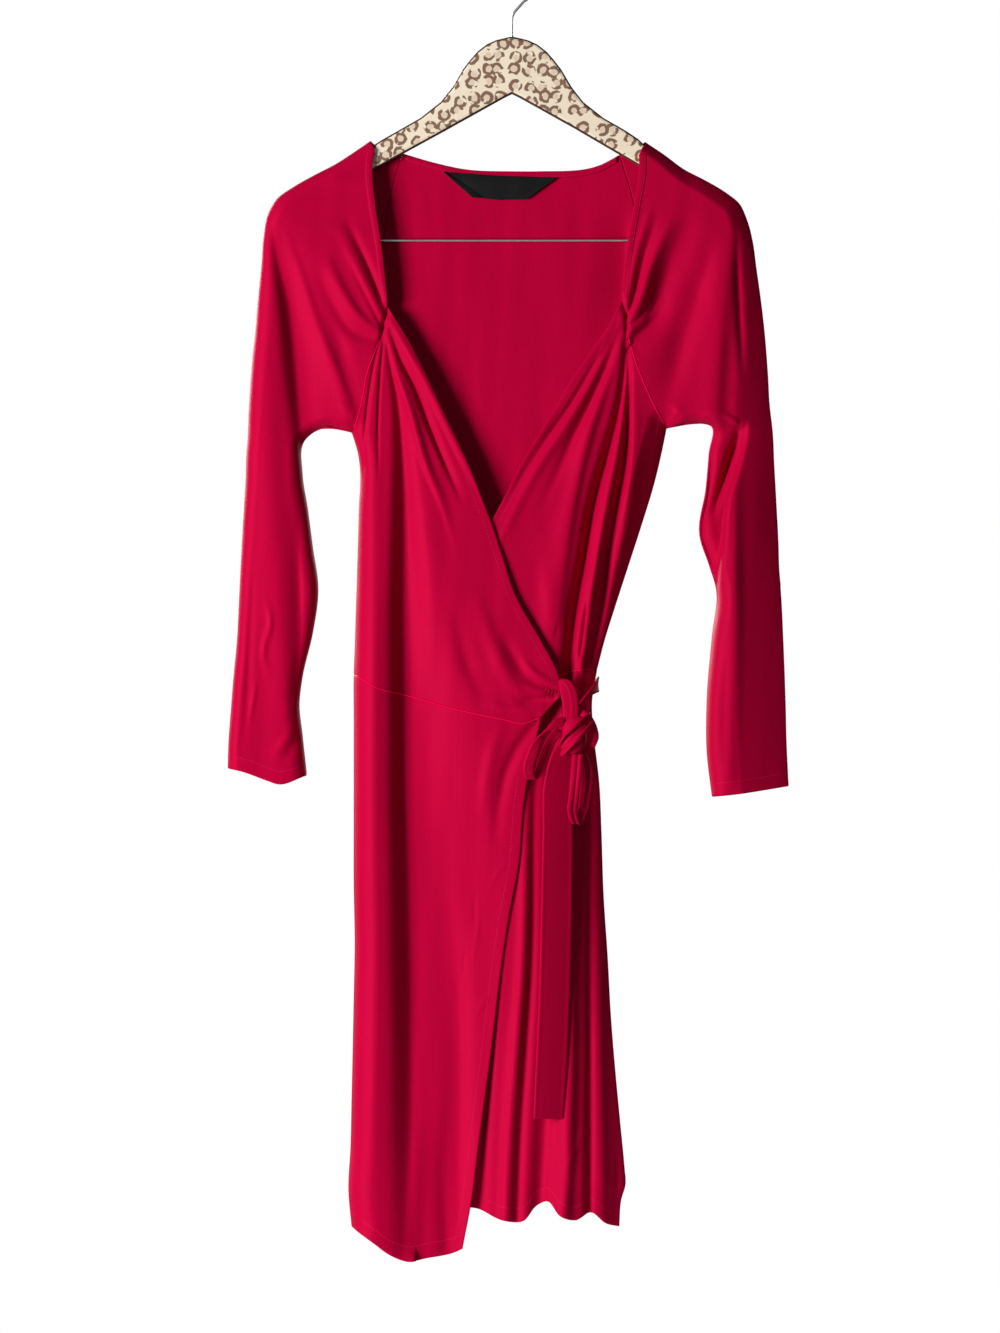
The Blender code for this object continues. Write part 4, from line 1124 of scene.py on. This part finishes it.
def raglan(edge, start, count):
    """A raglan seam as a line of places, from one of its points to the underarm."""
    return rows_of(between_points(edge, SLEEVE_PARTS, start, UNDERARM), count)


def seams():
    """The waist and raglan seams."""
    out = CLOTH / 2
    waist = rows_of(smooth(WAIST_OVER), 160)[2:-2]
    waist_under = rows_of(smooth(WAIST_UNDER[3:]), 40)[2:-3]
    seam_line("seam_ridges_front", [
        on_front(waist, OVERLAP, FOLDS_R, out + 0.6),
        on_front(raglan(EDGE_R, GATHER_FOOT, 60)[1:-3], SHOULDER, FOLDS_R, out - 0.1),
        on_front(raglan(EDGE_L, GATHER_FOOT, 60)[1:-3], SHOULDER, FOLDS_L, out - 0.1),
        on_front(waist_under, UNDERLAP, FOLDS_L, out + 0.3),
    ])
    seam_line("seam_ridges_back", [
        on_back(rows_of(smooth(WAIST_BACK), 160)[3:-3], BACK_BODY, out),
        on_back(raglan(RAGLAN_BACK_R, 1, 80)[2:-4], BACK_SHOULDER, out - 0.1),
        on_back(raglan(RAGLAN_BACK_L, 1, 80)[2:-4], BACK_SHOULDER, out - 0.1),
    ])


def topstitching():
    """The stitches of the free edges, hems, cuffs and neck, each row set in from its edge."""
    line = rows_of(smooth(SKIRT_EDGE), 400)[45:-6] + [-9, 0]
    stitches("stitches_skirt_edge", on_front(line, OVERLAP, FOLDS_R, THREAD_OUT))
    line = rows_of(smooth(WRAP_EDGE), 300)[14:-8] + [-6.5, -2.5]
    stitches("stitches_wrap_edge", on_front(line, OVERLAP, FOLDS_R, FINE_THREAD_OUT), FINE_STITCH)
    line = rows_of(smooth(UNDER_EDGE), 300)[14:170] + [5.5, -3.5]
    stitches("stitches_under_edge", on_front(line, UNDERLAP, FOLDS_L, FINE_THREAD_OUT), FINE_STITCH)
    line = rows_of(smooth(HEM_OVER), 120)[4:-4] + [0, 14]
    stitches("stitches_hem_over", on_front(line, OVERLAP, FOLDS_R, THREAD_OUT))
    line = rows_of(smooth(HEM_UNDER), 160)[60:-5] + [0, 13]
    stitches("stitches_hem_under", on_front(line, UNDERLAP, FOLDS_L, THREAD_OUT))
    line = rows_of(smooth(HEM_BACK), 140)[5:-5] + [0, 14]
    stitches("stitches_hem_back", on_back(line, BACK_BODY, THREAD_OUT))
    for name, cuff, lean, table, folds in (
        ("cuff_right", CUFF_R, 1.5, FRONT_SLEEVE_R, FOLDS_R),
        ("cuff_left", CUFF_L, -0.5, FRONT_SLEEVE_L, FOLDS_L),
    ):
        line = rows_of(smooth(cuff), 60)[4:-4] + [lean, 12.5]
        stitches("stitches_" + name, on_front(line, table, folds, THREAD_OUT))
        stitches("stitches_back_" + name, on_back(line, BACK_SLEEVE, THREAD_OUT))
    for name, edge, lean, folds in (
        ("stitches_neck_right", EDGE_R, -5.6, FOLDS_R), ("stitches_neck_left", EDGE_L, 5.6, FOLDS_L),
    ):
        line = rows_of(between_points(edge, SLEEVE_PARTS, 0, GATHER_TOP), 100)[2:-3]
        line = line + [lean, 0] * np.linspace(1, BAND_TAPER, len(line))[:, None]
        stitches(name, on_front(line, SHOULDER, folds, 1.45), NECK_STITCH)
    line = rows_of(smooth(NECKLINE), 160)[3:-3] - [0, 5.0]
    stitches("stitches_back_neck", on_inner_back(line, 2.15), NECK_STITCH)


# ---------------------------------------------------------------- the hanger

HOOK_WIRE = 1.2
HOOK_RADIUS = 22.2
BAR_WIRE = 1.1
BAR_DROP = 267.5
BAR_HALF = 174.0
BAR_BEND = 6.5


def hook():
    """Shank with a small set-off, then the round hook, open at the wearer's right, its end rounded."""
    shank = curve([(0, 0, -74.5), (0, 0, -60), (0.4, 0, -55), (2.2, 0, -50.5), (6, 0, -46)], 6)
    angle = np.radians(np.linspace(-60, 206, 110))
    centre = HOOK_WIRE - HOOK_RADIUS
    bow = np.stack([HOOK_RADIUS * np.cos(angle), 0 * angle, centre + HOOK_RADIUS * np.sin(angle)], 1)
    tubes("hook_wire", [np.concatenate([shank, bow])], HOOK_WIRE, STEEL, 16, "hanger_hook")


def bar():
    """The trouser bar, whose ends turn up to the undersides of the arms on a small bend."""
    path = []
    turn = np.linspace(0, np.pi / 2, 9)
    for side, top in ((-1, -227.3), (1, -234.3)):
        corner = np.stack([side * (BAR_HALF - BAR_BEND + BAR_BEND * np.cos(turn)), 0 * turn,
                           -BAR_DROP + BAR_BEND - BAR_BEND * np.sin(turn)], 1)
        end = np.concatenate([np.linspace((side * BAR_HALF, 0, top), corner[0], 8)[:-1], corner])
        path.append(end if side < 0 else end[::-1])
    middle = np.linspace(path[0][-1], path[1][0], 60)[1:-1]
    whole = np.concatenate([path[0], middle, path[1]])
    tubes("bar_wire", [whole], BAR_WIRE, STEEL, 12, "trouser_bar")


def hanger():
    """The board keeps its solid and gets its print."""
    board = frame["nodes"]["hanger_body"]
    board.data.materials.clear()
    board.data.materials.append(WOOD)
    hook()
    bar()

# ---------------------------------------------------------------- camera, light and floor

CAMERA_FAR = 7.0
VIEW_HIGH = 1.2664  # height of the view at the cloth
VIEW_MIDDLE = (-0.0114, -0.673)
SENSOR = 36.0
FLOOR_Z = -1.46
FLOOR_RADIUS = 0.62
FLOOR_EDGE = 0.004
FLOOR_SIDES = 72
WORLD_LIGHT = 0.05


def camera():
    """A level camera straight in front, far enough for a long lens, at half the garment's height."""
    data = bpy.data.cameras.new("camera")
    data.sensor_width = SENSOR
    data.lens = SENSOR * CAMERA_FAR / VIEW_HIGH
    made = put_in_scene("camera", data)
    made.location = (VIEW_MIDDLE[0], -CAMERA_FAR - 0.014, VIEW_MIDDLE[1])
    made.rotation_euler = (np.pi / 2, 0, 0)
    bpy.context.scene.camera = made


def lamp(name, place, aim, size, power):
    """A soft square light that faces a point."""
    data = bpy.data.lights.new(name, "AREA")
    data.size = size
    data.energy = power
    made = put_in_scene(name, data)
    made.location = place
    away = np.array(aim, float) - np.array(place, float)
    level = np.hypot(away[0], away[1])
    made.rotation_euler = (np.arctan2(level, -away[2]), 0, np.arctan2(away[1], away[0]) - np.pi / 2)


def world():
    """A white surround to look at, and a dim one to light by."""
    made = bpy.data.worlds.new("studio")
    bpy.context.scene.world = made
    made.use_nodes = True
    made.node_tree.nodes.clear()
    white = (1, 1, 1, 1)
    seen = add(made, "Background", {"Color": white})
    lit = add(made, "Background", {"Color": white, "Strength": WORLD_LIGHT})
    to_camera = add(made, "LightPath", {}).outputs["Is Camera Ray"]
    both = add(made, "MixShader", {"Fac": to_camera, 1: lit.outputs[0], 2: seen.outputs[0]})
    add(made, "OutputWorld", {"Surface": both.outputs[0]})
    bpy.context.scene.view_settings.view_transform = "Standard"


def floor():
    """A round sheet of pale paper well below the hem, its edge turned down."""
    turn = np.linspace(0, 2 * np.pi, FLOOR_SIDES, endpoint=False)
    radii = np.array([0.02, 0.2, 0.4, FLOOR_RADIUS - FLOOR_EDGE, FLOOR_RADIUS])[:, None]
    high = FLOOR_Z + np.array([0, 0, 0, 0, -FLOOR_EDGE])[:, None]
    rings = np.stack([radii * np.cos(turn), radii * np.sin(turn), high + 0 * turn], 2)
    number = np.arange(rings.shape[0] * FLOOR_SIDES).reshape(-1, FLOOR_SIDES)
    cells = cells_of(np.concatenate([number, number[:, :1]], axis=1)).reshape(-1, 4)
    mesh = bpy.data.meshes.new("studio_floor")
    mesh.from_pydata(rings.reshape(-1, 3).tolist(), [], cells.tolist() + [number[0].tolist()])
    mesh.materials.append(PAPER)
    put_in_scene("studio_floor", mesh)


# ---------------------------------------------------------------- put together

camera()
world()
floor()
lamp("window_light", (-3.0, -2.5, -0.66), (-0.02, 0, -0.7), 1.5, 208)
lamp("back_light", (-2.2, 3.4, 0.6), (0, 0, -0.7), 1.6, 130)
lamp("side_light", (2.2, 3.6, 0.2), (0, 0, -0.7), 1.4, 28)
lamp("fill_light", (0.4, -3.2, 0.3), (0, 0, -0.7), 1.4, 5)
hanger()
overlap_bodice()
underlap_bodice()
back_bodice()
overlap_skirt()
underlap_skirt()
back_skirt()
for side, *lines, table, folds in (
    ("right", EDGE_R, SHOULDER_R, RAGLAN_BACK_R, CUFF_R, FRONT_SLEEVE_R, FOLDS_R),
    ("left", EDGE_L, SHOULDER_L, RAGLAN_BACK_L, CUFF_L, FRONT_SLEEVE_L, FOLDS_L),
):
    sleeve("sleeve_" + side + "_cloth", "sleeve_" + side, *lines, table, folds)
neck_facing("neck_facing_right", EDGE_R, -1, FOLDS_R)
neck_facing("neck_facing_left", EDGE_L, 1, FOLDS_L)
back_neck_band()
label()
tie()
seams()
topstitching()
